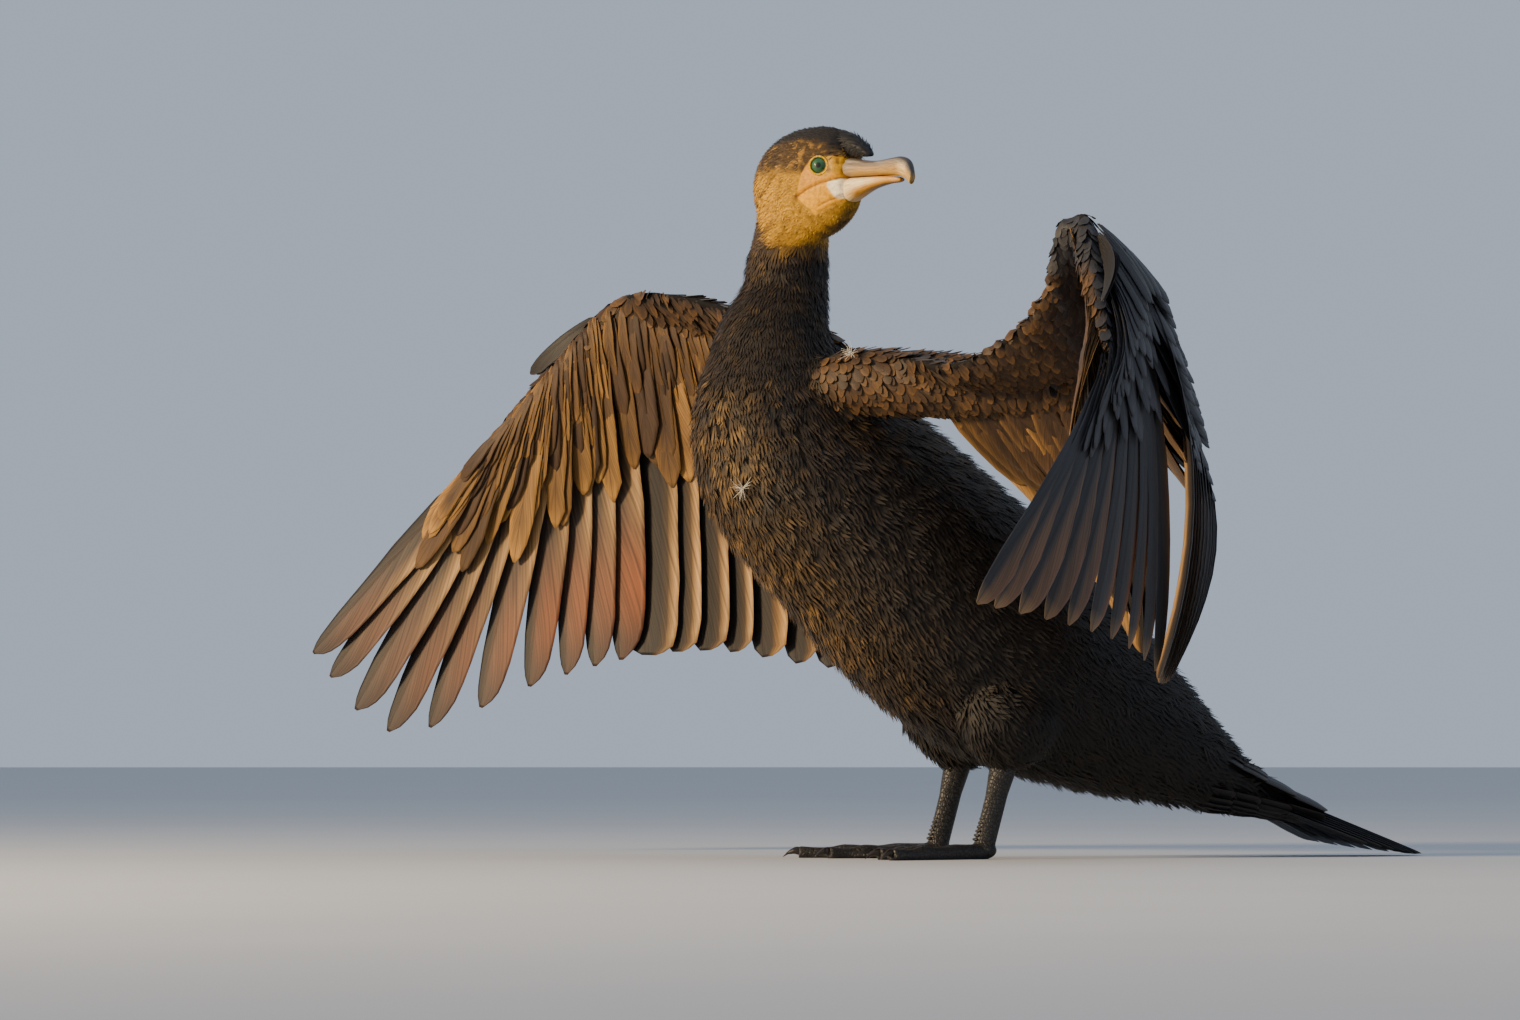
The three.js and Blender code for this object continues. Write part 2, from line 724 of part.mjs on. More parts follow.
function featherVanes(feather, index, bow) {
  const handed = Math.sign(new THREE.Vector3()
    .crossVectors(feather.normal, feather.hang).dot(feather.toward));
  const { lead, trail } = VANE_WIDTHS[feather.node];
  const wide = (a, b) => (handed > 0 ? { lead: a, trail: b } : { lead: b, trail: a });
  const roll = handed * LOUVER;
  const pieces = [vane({
    root: feather.root, tip: feather.tip, normal: feather.normal,
    tipNormal: feather.tipNormal, roll, bow, ...wide(lead, trail),
  })];
  const narrow = index <= PRIMARIES ? HAND_COVERT_WIDTH : 1;
  COVERT_TIERS.filter((tier) => (index + 1) % tier.every === 0).forEach((tier) => {
    const face = Math.sign(tier.height);
    const seat = tier.seat + Math.max(face, 0) * bow * SEAT_LIFT;
    const root = feather.bone.clone().addScaledVector(feather.normal, seat)
      .addScaledVector(feather.hang, -tier.rise);
    const tipNormal = feather.normal.clone().lerp(feather.tipNormal, tier.share).normalize();
    const tip = feather.root.clone().lerp(feather.tip, tier.share)
      .addScaledVector(tipNormal, tier.height + bow * 4 * tier.share * (1 - tier.share));
    pieces.push(vane({
      root, tip, normal: feather.normal, tipNormal, roll, bow: 3.5 * face, shape: COVERT_SHAPE,
      ...wide(tier.lead * narrow, tier.trail * narrow),
    }));
  });
  return pieces;
}

function wingMeshes(sideName) {
  const wing = WINGS[sideName];
  const feathers = flightFeathers(wing);
  const nodes = Object.keys(ARM_SECTIONS);
  const core = (node, grow) => {
    const own = feathers.filter((feather) => feather.node === node);
    return armCore(wing, node, own[Math.floor(own.length / 2)].hang, grow);
  };
  return nodes.map((node) => {
    const pieces = [core(node, 0)];
    feathers.forEach((feather, index) => {
      if (feather.node === node) {
        pieces.push(...featherVanes(feather, index, wing.bows[node]));
      }
    });
    const others = nodes.filter((other) => other !== node).map((other) => core(other, GAP));
    const body = [torsoSolid(GAP), lowerNeckSolid(GAP)];
    const solid = join(pieces).subtract(join([...others, ...body]));
    return toMesh(`wing_${sideName}_${node}`, solid, WING_PLUMAGE);
  });
}

// Assembly

function buildBird() {
  const bird = new THREE.Group();
  bird.add(toMesh("torso", torsoSolid(0), DARK_PLUMAGE));
  bird.add(toMesh("neck_lower", lowerNeckSolid(0), DARK_PLUMAGE));
  bird.add(toMesh("neck_upper", toSolid(bodyLength(HEAD_CUT, NECK_MID, 3)), DARK_PLUMAGE));
  bird.add(toMesh("tail", tailSolid(), DARK_PLUMAGE));

  const head = new THREE.Group();
  head.position.set(...EYE_LEVEL);
  head.rotation.z = HEAD_YAW;
  head.updateMatrix();
  const toHead = head.matrix.clone().invert();
  head.add(toMesh("head", headSolid(toHead), HEAD_PLUMAGE));
  head.add(toMesh("bill_upper", upperBillSolid(), HORN));
  head.add(toMesh("bill_lower",
    toSolid(tube(headRings(LOWER_BILL, BILL_START + GAP, 8, 12))), HORN));
  head.add(toMesh("eye_left", toSolid(eyeGeometry(1)), IRIS));
  head.add(toMesh("eye_right", toSolid(eyeGeometry(-1)), IRIS));
  bird.add(head);

  [["left", 1], ["right", -1]].forEach(([sideName, side]) => {
    bird.add(toMesh(`thigh_${sideName}`, thighSolid(side), DARK_PLUMAGE));
    const leg = toMesh(`leg_${sideName}`, legSolid(), SKIN);
    leg.position.x = side * STANCE;
    const foot = toMesh(`foot_${sideName}`, footSolid(side), SKIN);
    foot.position.x = side * STANCE;
    bird.add(leg, foot, ...wingMeshes(sideName));
  });
  return bird;
}

// The origin is on the floor under the middle of the whole bird
const group = buildBird();
group.updateMatrixWorld(true);
const box = new THREE.Box3().setFromObject(group, true);
group.position.set(-(box.min.x + box.max.x) / 2, -(box.min.y + box.max.y) / 2, 0);
group.updateMatrixWorld(true);

export default group;
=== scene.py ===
"""Great cormorant, life size, standing on the floor with both wings spread to dry.

Sizes are in millimetres in the bird's own frame: it faces -Y, its left side is +X and the
floor is Z = 0. `Place` moves them into the model's frame, in metres, from where the two
eyes are there. One skin carries the bird, and its feathers lie over it as thin vanes.
"""

from __future__ import annotations

import copy
import logging
import math
from dataclasses import dataclass, field
from enum import Enum
from typing import Callable

import bmesh
import bpy
import numpy as np
from bpy.types import Material, Mesh, Node, NodeSocket, NodeTree, Object
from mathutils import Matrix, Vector
from mathutils.bvhtree import BVHTree

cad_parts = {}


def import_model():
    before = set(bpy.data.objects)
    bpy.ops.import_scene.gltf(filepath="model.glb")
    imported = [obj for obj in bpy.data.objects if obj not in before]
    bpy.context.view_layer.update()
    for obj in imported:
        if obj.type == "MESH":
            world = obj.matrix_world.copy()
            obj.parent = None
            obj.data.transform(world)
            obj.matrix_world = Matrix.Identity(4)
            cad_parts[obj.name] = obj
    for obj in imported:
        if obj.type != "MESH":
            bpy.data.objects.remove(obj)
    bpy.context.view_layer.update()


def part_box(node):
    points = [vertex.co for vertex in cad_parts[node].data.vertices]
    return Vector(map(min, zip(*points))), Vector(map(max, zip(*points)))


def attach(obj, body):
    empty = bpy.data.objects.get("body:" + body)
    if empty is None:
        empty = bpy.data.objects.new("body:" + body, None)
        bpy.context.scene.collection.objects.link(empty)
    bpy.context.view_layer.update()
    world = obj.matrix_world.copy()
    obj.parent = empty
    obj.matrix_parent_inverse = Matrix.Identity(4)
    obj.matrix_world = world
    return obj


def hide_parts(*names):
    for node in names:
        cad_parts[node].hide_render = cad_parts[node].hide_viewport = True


log = logging.getLogger("cormorant")
Array = np.ndarray
BODY = "root"
MM = 0.001

# Spine stations from inside the head to the tail root: y, z, half depth, half width
SPINE = np.array([
    [-120, 448, 17, 17],
    [-130, 428, 24, 24],
    [-134, 404, 26, 26],
    [-137, 386, 28, 28],
    [-139, 366, 31, 31],
    [-146, 329, 46, 44],
    [-134, 271, 72, 62],
    [-71, 212, 81, 74],
    [-33, 178, 84, 76],
    [4, 151, 83, 75],
    [44, 126, 77, 70],
    [98, 96, 60, 58],
    [138, 75, 44, 44],
    [182, 52, 24, 28],
], float)
NECK_ROOT = 5.0
TAIL_ROOT = 13.0
# The tail slopes down to the floor: the way along it, and the way to its upper side
TAIL_SLOPE = math.radians(18.4)
TAIL_ALONG = np.array([0, math.cos(TAIL_SLOPE), -math.sin(TAIL_SLOPE)])
TAIL_ABOVE = np.array([0, math.sin(TAIL_SLOPE), math.cos(TAIL_SLOPE)])
# The point between the eyes, and how far the head is turned to the bird's left of +X
EYE_LEVEL = np.array([41.6, -122.4, 449.5])
HEAD_YAW = math.radians(17)
# Head sections along its own forward axis: forward, top, bottom, half width
SKULL = np.array([
    [-64, -2, -25, 10],
    [-60, 11, -36, 18],
    [-49, 21, -44, 24],
    [-32, 27, -48, 25.5],
    [-13, 28.5, -47, 23.5],
    [2, 26.5, -42, 20],
    [12, 20.5, -35, 15.5],
    [18, 9, -28, 12],
], float)
# Depth of the feathers on the head
HEAD_COAT = 0.9
BILL_START = 18.0
UP = np.array([0.0, 0.0, 1.0])
LEFTWARD = np.array([1.0, 0.0, 0.0])
REARWARD = np.array([0.0, 1.0, 0.0])


class Side(Enum):
    """One side of the bird."""

    LEFT = "left"
    RIGHT = "right"

    @property
    def sign(self) -> int:
        """+1 on the bird's left, which is +X."""
        return 1 if self is Side.LEFT else -1


def unit(vectors: Array) -> Array:
    """Vectors of length one along the last axis."""
    return vectors / np.maximum(np.linalg.norm(vectors, axis=-1, keepdims=True), 1e-9)


def dot(a: Array, b: Array) -> Array:
    """Row by row product, with the last axis kept."""
    return np.sum(a * b, axis=-1, keepdims=True)


def ease(low: float, high: float, values: Array) -> Array:
    """0 below `low`, 1 above `high` and smooth between them."""
    share = np.clip((np.asarray(values, float) - low) / (high - low), 0, 1)
    return share * share * (3 - 2 * share)


def between(rows: Array, at: Array | float) -> Array:
    """Smooth values through rows.

    Args:
        rows: The rows, of equal length.
        at: Fractional row numbers.

    Returns:
        One row of values for each number in `at`.
    """
    rows = np.asarray(rows, float)
    at = np.atleast_1d(np.asarray(at, float))
    last = len(rows) - 1
    low = np.clip(np.floor(at).astype(int), 0, last - 1)
    t = (at - low)[:, None]
    p0 = rows[np.maximum(low - 1, 0)]
    p1 = rows[low]
    p2 = rows[low + 1]
    p3 = rows[np.minimum(low + 2, last)]
    m1 = (p2 - p0) / 2
    m2 = (p3 - p1) / 2
    t2 = t * t
    t3 = t2 * t
    return (2 * t3 - 3 * t2 + 1) * p1 + (t3 - 2 * t2 + t) * m1 + (3 * t2 - 2 * t3) * p2 + (t3 - t2) * m2


def turned(vectors: Array, axis: Array, angle: Array | float) -> Array:
    """Vectors turned about unit axes by an angle in radians.

    Args:
        vectors: The vectors.
        axis: Unit axes.
        angle: How far, in radians.

    Returns:
        The turned vectors.
    """
    angle = np.asarray(angle, float)[..., None]
    cos, sin = np.cos(angle), np.sin(angle)
    return vectors * cos + np.cross(axis, vectors) * sin + axis * dot(axis, vectors) * (1 - cos)


def mottle(points: Array, size: float, seed: int = 0) -> Array:
    """Smooth random values from 0 to 1 in space.

    Args:
        points: Where to read them, in mm.
        size: Size of a spot in mm.
        seed: Which pattern.

    Returns:
        One value for each point.
    """
    grid = points / size + seed * 17.3
    cell = np.floor(grid).astype(np.int64)
    part = grid - cell
    part = part * part * (3 - 2 * part)
    total = np.zeros(len(points))
    for corner in np.ndindex(2, 2, 2):
        spot = cell + corner
        mixed = spot[:, 0] * 374761393 + spot[:, 1] * 668265263 + spot[:, 2] * 2147483647 + seed * 974711
        mixed = (mixed ^ (mixed >> 13)) * 1274126177
        value = ((mixed ^ (mixed >> 16)) & 0xFFFF) / 65535
        total += value * np.prod(np.where(corner, part, 1 - part), axis=1)
    return total


def linear(colour: str) -> Array:
    """Linear colour from sRGB hex."""
    srgb = np.array([int(colour[i:i + 2], 16) for i in (1, 3, 5)]) / 255
    return np.where(srgb <= 0.04045, srgb / 12.92, ((srgb + 0.055) / 1.055) ** 2.4)


def hue(colour: str) -> Array:
    """A dataclass field that holds a linear colour, from sRGB hex."""
    return field(default_factory=lambda: linear(colour))


def blended(first: Array, second: Array, share: Array) -> Array:
    """Colours between two, by a share for each point."""
    share = np.asarray(share)[..., None]
    return first * (1 - share) + second * share


@dataclass
class Place:
    """Where the bird's own frame lies in the model's frame."""

    shift: Array

    @classmethod
    def from_eyes(cls) -> "Place":
        """Reads the shift from the two eye nodes."""
        middles = [np.mean(np.array(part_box(f"eye_{side.value}")), axis=0) / MM for side in Side]
        shift = np.mean(middles, axis=0) - EYE_LEVEL
        shift[2] = 0.0
        return cls(shift)

    def world(self, points: Array) -> Array:
        """Metres in the model's frame, from mm in the bird's."""
        return (np.asarray(points) + self.shift) * MM


HEAD_FORWARD = np.array([math.cos(HEAD_YAW), math.sin(HEAD_YAW), 0.0])
HEAD_LEFT = np.array([-math.sin(HEAD_YAW), math.cos(HEAD_YAW), 0.0])
HEAD_AXES = np.stack([HEAD_FORWARD, HEAD_LEFT, UP])


def from_head(points: Array) -> Array:
    """Points in the bird's frame, from forward, left and up of the point between the eyes."""
    points = np.asarray(points, float)
    return (EYE_LEVEL + points.reshape(-1, 3) @ HEAD_AXES).reshape(points.shape)


def to_head(points: Array) -> Array:
    """Forward, left and up of the point between the eyes."""
    return (points - EYE_LEVEL) @ HEAD_AXES.T


@dataclass
class Shape:
    """A mesh being put together: points in mm, faces, colours and two UV maps."""

    points: list[Array] = field(default_factory=list)
    faces: list[Array] = field(default_factory=list)
    tints: list[Array] = field(default_factory=list)
    vanes: list[Array] = field(default_factory=list)
    patches: list[Array] = field(default_factory=list)
    count: int = 0

    def add(self, points: Array, faces: Array, tint: Array | None = None,
            vane: Array | None = None, patch: Array | None = None) -> None:
        """Adds points with their faces.

        Args:
            points: Points in mm.
            faces: Rows of three or four point numbers.
            tint: A linear colour for each point.
            vane: Place across and along the feather for each point.
            patch: Place on the baking map for each point.
        """
        total = len(points)
        self.points.append(np.asarray(points, float))
        self.faces.append(np.asarray(faces, np.int64) + self.count)
        self.tints.append(np.full((total, 3), 0.1) if tint is None else tint)
        self.vanes.append(np.zeros((total, 2)) if vane is None else vane)
        self.patches.append(np.zeros((total, 2)) if patch is None else patch)
        self.count += total

    def mesh(self, name: str, place: Place | None, coat: bool = True) -> Mesh:
        """The mesh, in metres in the model's frame if a place is given, else in mm.

        Args:
            name: Its name.
            place: Where the bird is, or none for mm.
            coat: Whether it keeps the maps that feathers have.

        Returns:
            The mesh.
        """
        points = np.concatenate(self.points)
        loops = np.concatenate([face.ravel() for face in self.faces])
        sizes = np.concatenate([np.full(len(face), face.shape[1]) for face in self.faces])
        made = bpy.data.meshes.new(name)
        made.vertices.add(len(points))
        made.vertices.foreach_set("co", (place.world(points) if place else points).ravel())
        made.loops.add(len(loops))
        made.loops.foreach_set("vertex_index", loops)
        made.polygons.add(len(sizes))
        made.polygons.foreach_set("loop_start", np.concatenate([[0], np.cumsum(sizes)[:-1]]))
        made.polygons.foreach_set("use_smooth", np.ones(len(sizes), bool))
        made.update(calc_edges=True)
        tint = made.color_attributes.new("tint", "FLOAT_COLOR", "POINT")
        colours = np.concatenate(self.tints)
        tint.data.foreach_set("color", np.column_stack([colours, np.ones(len(colours))]).ravel())
        if coat:
            for label, values in (("OFBake", self.patches), ("vane", self.vanes)):
                layer = made.uv_layers.new(name=label)
                layer.data.foreach_set("uv", np.concatenate(values)[loops].ravel())
        return made


def new_object(name: str, mesh: Mesh, material: Material | None = None) -> Object:
    """Links an object for a mesh, with its material."""
    made = bpy.data.objects.new(name, mesh)
    bpy.context.scene.collection.objects.link(made)
    if material:
        mesh.materials.clear()
        mesh.materials.append(material)
    return made


def settle(piece: Object, slot: str, *nodes: str) -> Object:
    """Fixes a finished piece to the bird.

    Args:
        piece: The piece.
        slot: A material slot's name; not used.
        *nodes: Nodes that it stands for.

    Returns:
        The piece.
    """
    if nodes:
        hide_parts(*nodes)
    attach(piece, BODY)
    log.info("%s: %d faces", piece.name, len(piece.data.polygons))
    return piece


def evaluated(scratch: Object, name: str) -> Mesh:
    """The plain mesh of an object with its modifiers, and the object is removed.

    Args:
        scratch: The object.
        name: The mesh's name.

    Returns:
        The mesh.
    """
    bpy.context.view_layer.update()
    graph = bpy.context.evaluated_depsgraph_get()
    made = bpy.data.meshes.new_from_object(scratch.evaluated_get(graph))
    made.name = name
    before = scratch.data
    bpy.data.objects.remove(scratch)
    bpy.data.meshes.remove(before)
    return made


def one_surface(shape: Shape, name: str, voxel: float, passes: int) -> Mesh:
    """The closed surface round all of a shape, in mm, with joins smoothed in some passes.

    Args:
        shape: Closed lofts that overlap.
        name: The mesh's name.
        voxel: Size of its cells.
        passes: How often it is smoothed.

    Returns:
        The mesh.
    """
    scratch = new_object("shells", shape.mesh("shells", None, coat=False))
    union = scratch.modifiers.new("One surface", "REMESH")
    union.mode = "VOXEL"
    union.voxel_size = voxel
    even = scratch.modifiers.new("Soft joins", "SMOOTH")
    even.iterations = passes
    return evaluated(scratch, name)


def read_points(mesh: Mesh) -> Array:
    """The points of a mesh."""
    points = np.zeros(len(mesh.vertices) * 3)
    mesh.vertices.foreach_get("co", points)
    return points.reshape(-1, 3)


def read_triangles(mesh: Mesh) -> Array:
    """The faces of a mesh as rows of three point numbers."""
    mesh.calc_loop_triangles()
    corners = np.zeros(len(mesh.loop_triangles) * 3, np.int32)
    mesh.loop_triangles.foreach_get("vertices", corners)
    return corners.reshape(-1, 3)


def move_points(mesh: Mesh, points: Array) -> None:
    """Gives a smooth mesh other points."""
    mesh.vertices.foreach_set("co", points.ravel())
    mesh.polygons.foreach_set("use_smooth", np.ones(len(mesh.polygons), bool))
    mesh.update()


def add_piece(shape: Shape, name: str, place: Place, material: Material, slot: str, *nodes: str,
              coat: bool = True) -> Object:
    """Makes a shape a finished piece, and fixes it to the bird.

    Args:
        shape: Its shape.
        name: Its name.
        place: Where the bird is.
        material: Its finish.
        slot: Its material slot.
        *nodes: Nodes that it stands for.
        coat: Whether it keeps the maps that feathers have.

    Returns:
        The piece.
    """
    return settle(new_object(name, shape.mesh(name, place, coat), material), slot, *nodes)


def sheet_faces(rows: int, columns: int) -> Array:
    """Quads of a sheet of points that are numbered row by row."""
    a = (np.arange(rows - 1)[:, None] * columns + np.arange(columns - 1)).ravel()
    return np.column_stack([a, a + columns, a + columns + 1, a + 1])


def plate_faces(rows: int, columns: int) -> Array:
    """Quads of a closed plate: an upper sheet, an under sheet numbered after it, and the rim.

    Args:
        rows: Points along it.
        columns: Points across it.

    Returns:
        Rows of four point numbers.
    """
    upper = sheet_faces(rows, columns)
    grid = np.arange(rows * columns).reshape(rows, columns)
    faces = [upper, upper[:, ::-1] + grid.size]
    for line, inward in ((grid[:, 0], True), (grid[:, -1], False), (grid[0], False), (grid[-1], True)):
        a, b = line[:-1], line[1:]
        rim = [a, a + grid.size, b + grid.size, b] if inward else [a, b, b + grid.size, a + grid.size]
        faces.append(np.column_stack(rim))
    return np.concatenate(faces)


def tube_faces(rings: int, around: int) -> tuple[Array, Array]:
    """Side quads and cap triangles of a tube whose two cap centres follow its ring points.

    Args:
        rings: How many rings.
        around: Points in a ring.

    Returns:
        The quads and the triangles.
    """
    ring, spot = np.meshgrid(np.arange(rings - 1), np.arange(around), indexing="ij")
    a = (ring * around + spot).ravel()
    b = (ring * around + (spot + 1) % around).ravel()
    sides = np.column_stack([a, b, b + around, a + around])
    here = np.arange(around)
    ahead = (here + 1) % around
    end = (rings - 1) * around
    total = rings * around
    start_cap = np.column_stack([ahead, here, np.full(around, total)])
    end_cap = np.column_stack([end + here, end + ahead, np.full(around, total + 1)])
    return sides, np.concatenate([start_cap, end_cap])


def tube(shape: Shape, rings: Array, tint: Array | None = None) -> None:
    """Adds a closed tube.

    Args:
        shape: Where it goes.
        rings: Points by ring and place round it.
        tint: A colour for each ring point, or none.
    """
    count, around = rings.shape[:2]
    points = np.concatenate([rings.reshape(-1, 3), rings[[0, -1]].mean(axis=1)])
    sides, caps = tube_faces(count, around)
    centre = rings.mean(axis=1)
    first = rings[0, 1] - rings[0, 0]
    outward = dot(np.cross(first, rings[1, 0] - rings[0, 0]), rings[0, 0] - centre[0])
    if outward[0] < 0:
        sides, caps = sides[:, ::-1], caps[:, ::-1]
    colours = None
    if tint is not None:
        colours = np.concatenate([tint.reshape(-1, 3), tint[[0, -1]].mean(axis=1)])
    shape.add(points, sides, colours)
    shape.faces.append(caps + shape.count - len(points))


def ellipses(centres: Array, axis_u: Array, axis_v: Array, size_u: Array, size_v: Array,
             around: int) -> Array:
    """Rings about centres, with half sizes along two axes.

    Args:
        centres: One for each ring.
        axis_u: Unit way of the first size.
        axis_v: Unit way of the second.
        size_u: Half sizes along the first.
        size_v: Half sizes along the second.
        around: Points in a ring.

    Returns:
        Points by ring and place round it.
    """
    angle = np.linspace(0, 2 * np.pi, around, endpoint=False)
    u = np.broadcast_to(axis_u, centres.shape)[:, None] * np.asarray(size_u)[:, None, None]
    v = np.broadcast_to(axis_v, centres.shape)[:, None] * np.asarray(size_v)[:, None, None]
    return centres[:, None] + u * np.cos(angle)[None, :, None] + v * np.sin(angle)[None, :, None]


def node(tree: NodeTree, kind: str, inputs: dict | None = None, **settings) -> Node:
    """Adds a node.

    Args:
        tree: The tree that it goes in.
        kind: Blender's name of the node's type.
        inputs: For each input socket a value, another node's output, or a node for its first one.
        **settings: The node's own properties.

    Returns:
        The new node.
    """
    made = tree.nodes.new(kind)
    for key, value in settings.items():
        setattr(made, key, value)
    for key, value in (inputs or {}).items():
        if isinstance(value, Node):
            value = value.outputs[0]
        if isinstance(value, NodeSocket):
            tree.links.new(value, made.inputs[key])
        else:
            made.inputs[key].default_value = value
    return made


@dataclass(frozen=True)
class Finish:
    """How one real surface looks."""

    name: str

    @staticmethod
    def grained(tree: NodeTree, grain: Node, low: float, high: float) -> Node:
        """The piece's own colours, darker to lighter along a grain.

        Args:
            tree: The material's tree.
            grain: The node that gives the grain.
            low: Share of the colour where it is darkest.
            high: Share where it is lightest.

        Returns:
            The node that gives the colour.
        """
        tint = node(tree, "ShaderNodeAttribute", attribute_name="tint")
        shade = node(tree, "ShaderNodeMapRange", {"Value": grain, 1: 0.3, 2: 0.7, 3: low, 4: high})
        return node(tree, "ShaderNodeVectorMath", {0: tint, "Scale": shade}, operation="SCALE")

    def surface(self, tree: NodeTree) -> Node:
        """The shader, with the patterns that feed it."""
        raise NotImplementedError

    def build(self) -> Material:
        """The material round the shader."""
        made = bpy.data.materials.new(self.name)
        made.use_nodes = True
        made.node_tree.nodes.clear()
        node(made.node_tree, "ShaderNodeOutputMaterial", {"Surface": self.surface(made.node_tree)})
        return made


@dataclass(frozen=True)
class Plumage(Finish):
    """Keratin vanes: barbs lie side by side and slant from the shaft to the edge.

    They are 0.1 to 0.3 mm apart on a real feather, which is too fine to show, so they are
    drawn in bundles. Keratin gives a satin gloss, and melanin its dark browns.
    """

    roughness: float = 0.55
    bundles: float = 26.0
    slant: float = 16.0
    contrast: float = 0.45
    relief: float = 0.00035

    def surface(self, tree: NodeTree) -> Node:
        """The shader, which reads the piece's own colours and its map along each vane."""
        vane = node(tree, "ShaderNodeUVMap", uv_map="vane")
        parts = node(tree, "ShaderNodeSeparateXYZ", {0: vane})
        across = node(tree, "ShaderNodeMath", {0: parts, 1: 0.5}, operation="SUBTRACT")
        away = node(tree, "ShaderNodeMath", {0: across}, operation="ABSOLUTE")
        swept = node(tree, "ShaderNodeMath", {0: away, 1: -self.slant, 2: 0.0},
                     operation="MULTIPLY_ADD")
        order = node(tree, "ShaderNodeMath", {0: parts.outputs[1], 1: self.bundles, 2: swept},
                     operation="MULTIPLY_ADD")
        place = node(tree, "ShaderNodeTexCoord")
        lot = node(tree, "ShaderNodeTexNoise", {
            "Vector": place.outputs["Object"], "Scale": 18.0, "Detail": 1.0})
        spot = node(tree, "ShaderNodeCombineXYZ", {0: order, 1: away, 2: lot})
        barbs = node(tree, "ShaderNodeTexNoise", {"Vector": spot, "Scale": 1.6, "Detail": 2.0})
        colour = self.grained(tree, barbs, 1 - self.contrast, 1 + self.contrast)
        bump = node(tree, "ShaderNodeBump", {"Height": barbs, "Strength": 0.5,
                                             "Distance": self.relief})
        return node(tree, "ShaderNodeBsdfPrincipled", {
            "Base Color": colour, "Roughness": self.roughness, "Normal": bump,
            "Specular IOR Level": 0.35, "Sheen Weight": 0.05, "Sheen Roughness": 0.5})


@dataclass(frozen=True)
class LivingSkin(Finish):
    """Skin under the feathers, bare on the face, where it is soft, moist and finely pimpled."""

    name: str = "bare face skin and feathered skin"
    pimple: float = 1.3

    def surface(self, tree: NodeTree) -> Node:
        """The shader. The piece's own `bare` attribute says where no feathers grow."""
        bare = node(tree, "ShaderNodeAttribute", attribute_name="bare")
        place = node(tree, "ShaderNodeTexCoord")
        cells = node(tree, "ShaderNodeTexVoronoi", {
            "Vector": place.outputs["Object"], "Scale": 1 / (self.pimple * MM)}, feature="F1")
        streaks = node(tree, "ShaderNodeTexNoise", {
            "Vector": place.outputs["Object"], "Scale": 420.0, "Detail": 3.0})
        height = node(tree, "ShaderNodeMix", {0: bare.outputs["Fac"], 2: streaks,
                                              3: cells.outputs["Distance"]})
        colour = self.grained(tree, streaks, 0.72, 1.25)
        dull = node(tree, "ShaderNodeMapRange", {"Value": bare.outputs["Fac"], 3: 0.85, 4: 0.5})
        bump = node(tree, "ShaderNodeBump", {"Height": height, "Strength": 0.35, "Distance": 0.0004})
        return node(tree, "ShaderNodeBsdfPrincipled", {
            "Base Color": colour, "Roughness": dull, "Normal": bump,
            "Specular IOR Level": 0.25})


@dataclass(frozen=True)
class BillHorn(Finish):
    """Keratin sheath of the bill: waxy, with growth lines along it and scuffs near the tip."""

    name: str = "waxy bill horn"
    grain: float = 2.0

    def surface(self, tree: NodeTree) -> Node:
        """The shader, over the piece's own colours."""
        vane = node(tree, "ShaderNodeUVMap", uv_map="vane")
        stretched = node(tree, "ShaderNodeMapping", {"Vector": vane, "Scale": (38.0, 5.0, 1.0)})
        grain = node(tree, "ShaderNodeTexNoise", {"Vector": stretched, "Scale": self.grain,
                                                  "Detail": 4.0})
        colour = self.grained(tree, grain, 0.6, 1.3)
        bump = node(tree, "ShaderNodeBump", {"Height": grain, "Strength": 0.55, "Distance": 0.0004})
        return node(tree, "ShaderNodeBsdfPrincipled", {
            "Base Color": colour, "Roughness": 0.38, "Normal": bump,
            "IOR": 1.55, "Subsurface Weight": 0.08, "Subsurface Radius": (0.002, 0.001, 0.0006)})


@dataclass(frozen=True)
class WetEye(Finish):
    """An eyeball under a clear tear film: the iris shows its fibres, the film one sharp glint."""

    name: str = "wet emerald eye"

    def surface(self, tree: NodeTree) -> Node:
        """The shader, over the eyeball's own colours."""
        tint = node(tree, "ShaderNodeAttribute", attribute_name="tint")
        return node(tree, "ShaderNodeBsdfPrincipled", {
            "Base Color": tint, "Roughness": 0.45, "IOR": 1.38,
            "Coat Weight": 1.0, "Coat Roughness": 0.03, "Coat IOR": 1.38})


@dataclass(frozen=True)
class ScaledSkin(Finish):
    """Leathery leg skin with small many-sided scales, satin where they rub."""

    name: str = "scaled black leg skin"
    scale: float = 2.4
    dark: str = "#141313"
    light: str = "#3a3836"
    roughness: float = 0.5

    def surface(self, tree: NodeTree) -> Node:
        """The shader, on object coordinates."""
        place = node(tree, "ShaderNodeTexCoord")
        cells = node(tree, "ShaderNodeTexVoronoi", {
            "Vector": place.outputs["Object"], "Scale": 1 / (self.scale * MM)}, feature="DISTANCE_TO_EDGE")
        lift = node(tree, "ShaderNodeMapRange", {"Value": cells.outputs["Distance"], 1: 0.0, 2: 0.16})
        spots = node(tree, "ShaderNodeTexNoise", {
            "Vector": place.outputs["Object"], "Scale": 90.0, "Detail": 3.0})
        share = node(tree, "ShaderNodeMath", {0: lift, 1: spots}, operation="MULTIPLY")
        colour = node(tree, "ShaderNodeMix", {
            0: share, 6: (*linear(self.dark), 1.0), 7: (*linear(self.light), 1.0)}, data_type="RGBA")
        bump = node(tree, "ShaderNodeBump", {"Height": lift, "Strength": 0.6, "Distance": 0.0005})
        return node(tree, "ShaderNodeBsdfPrincipled", {
            "Base Color": colour.outputs[2], "Roughness": self.roughness, "Normal": bump})


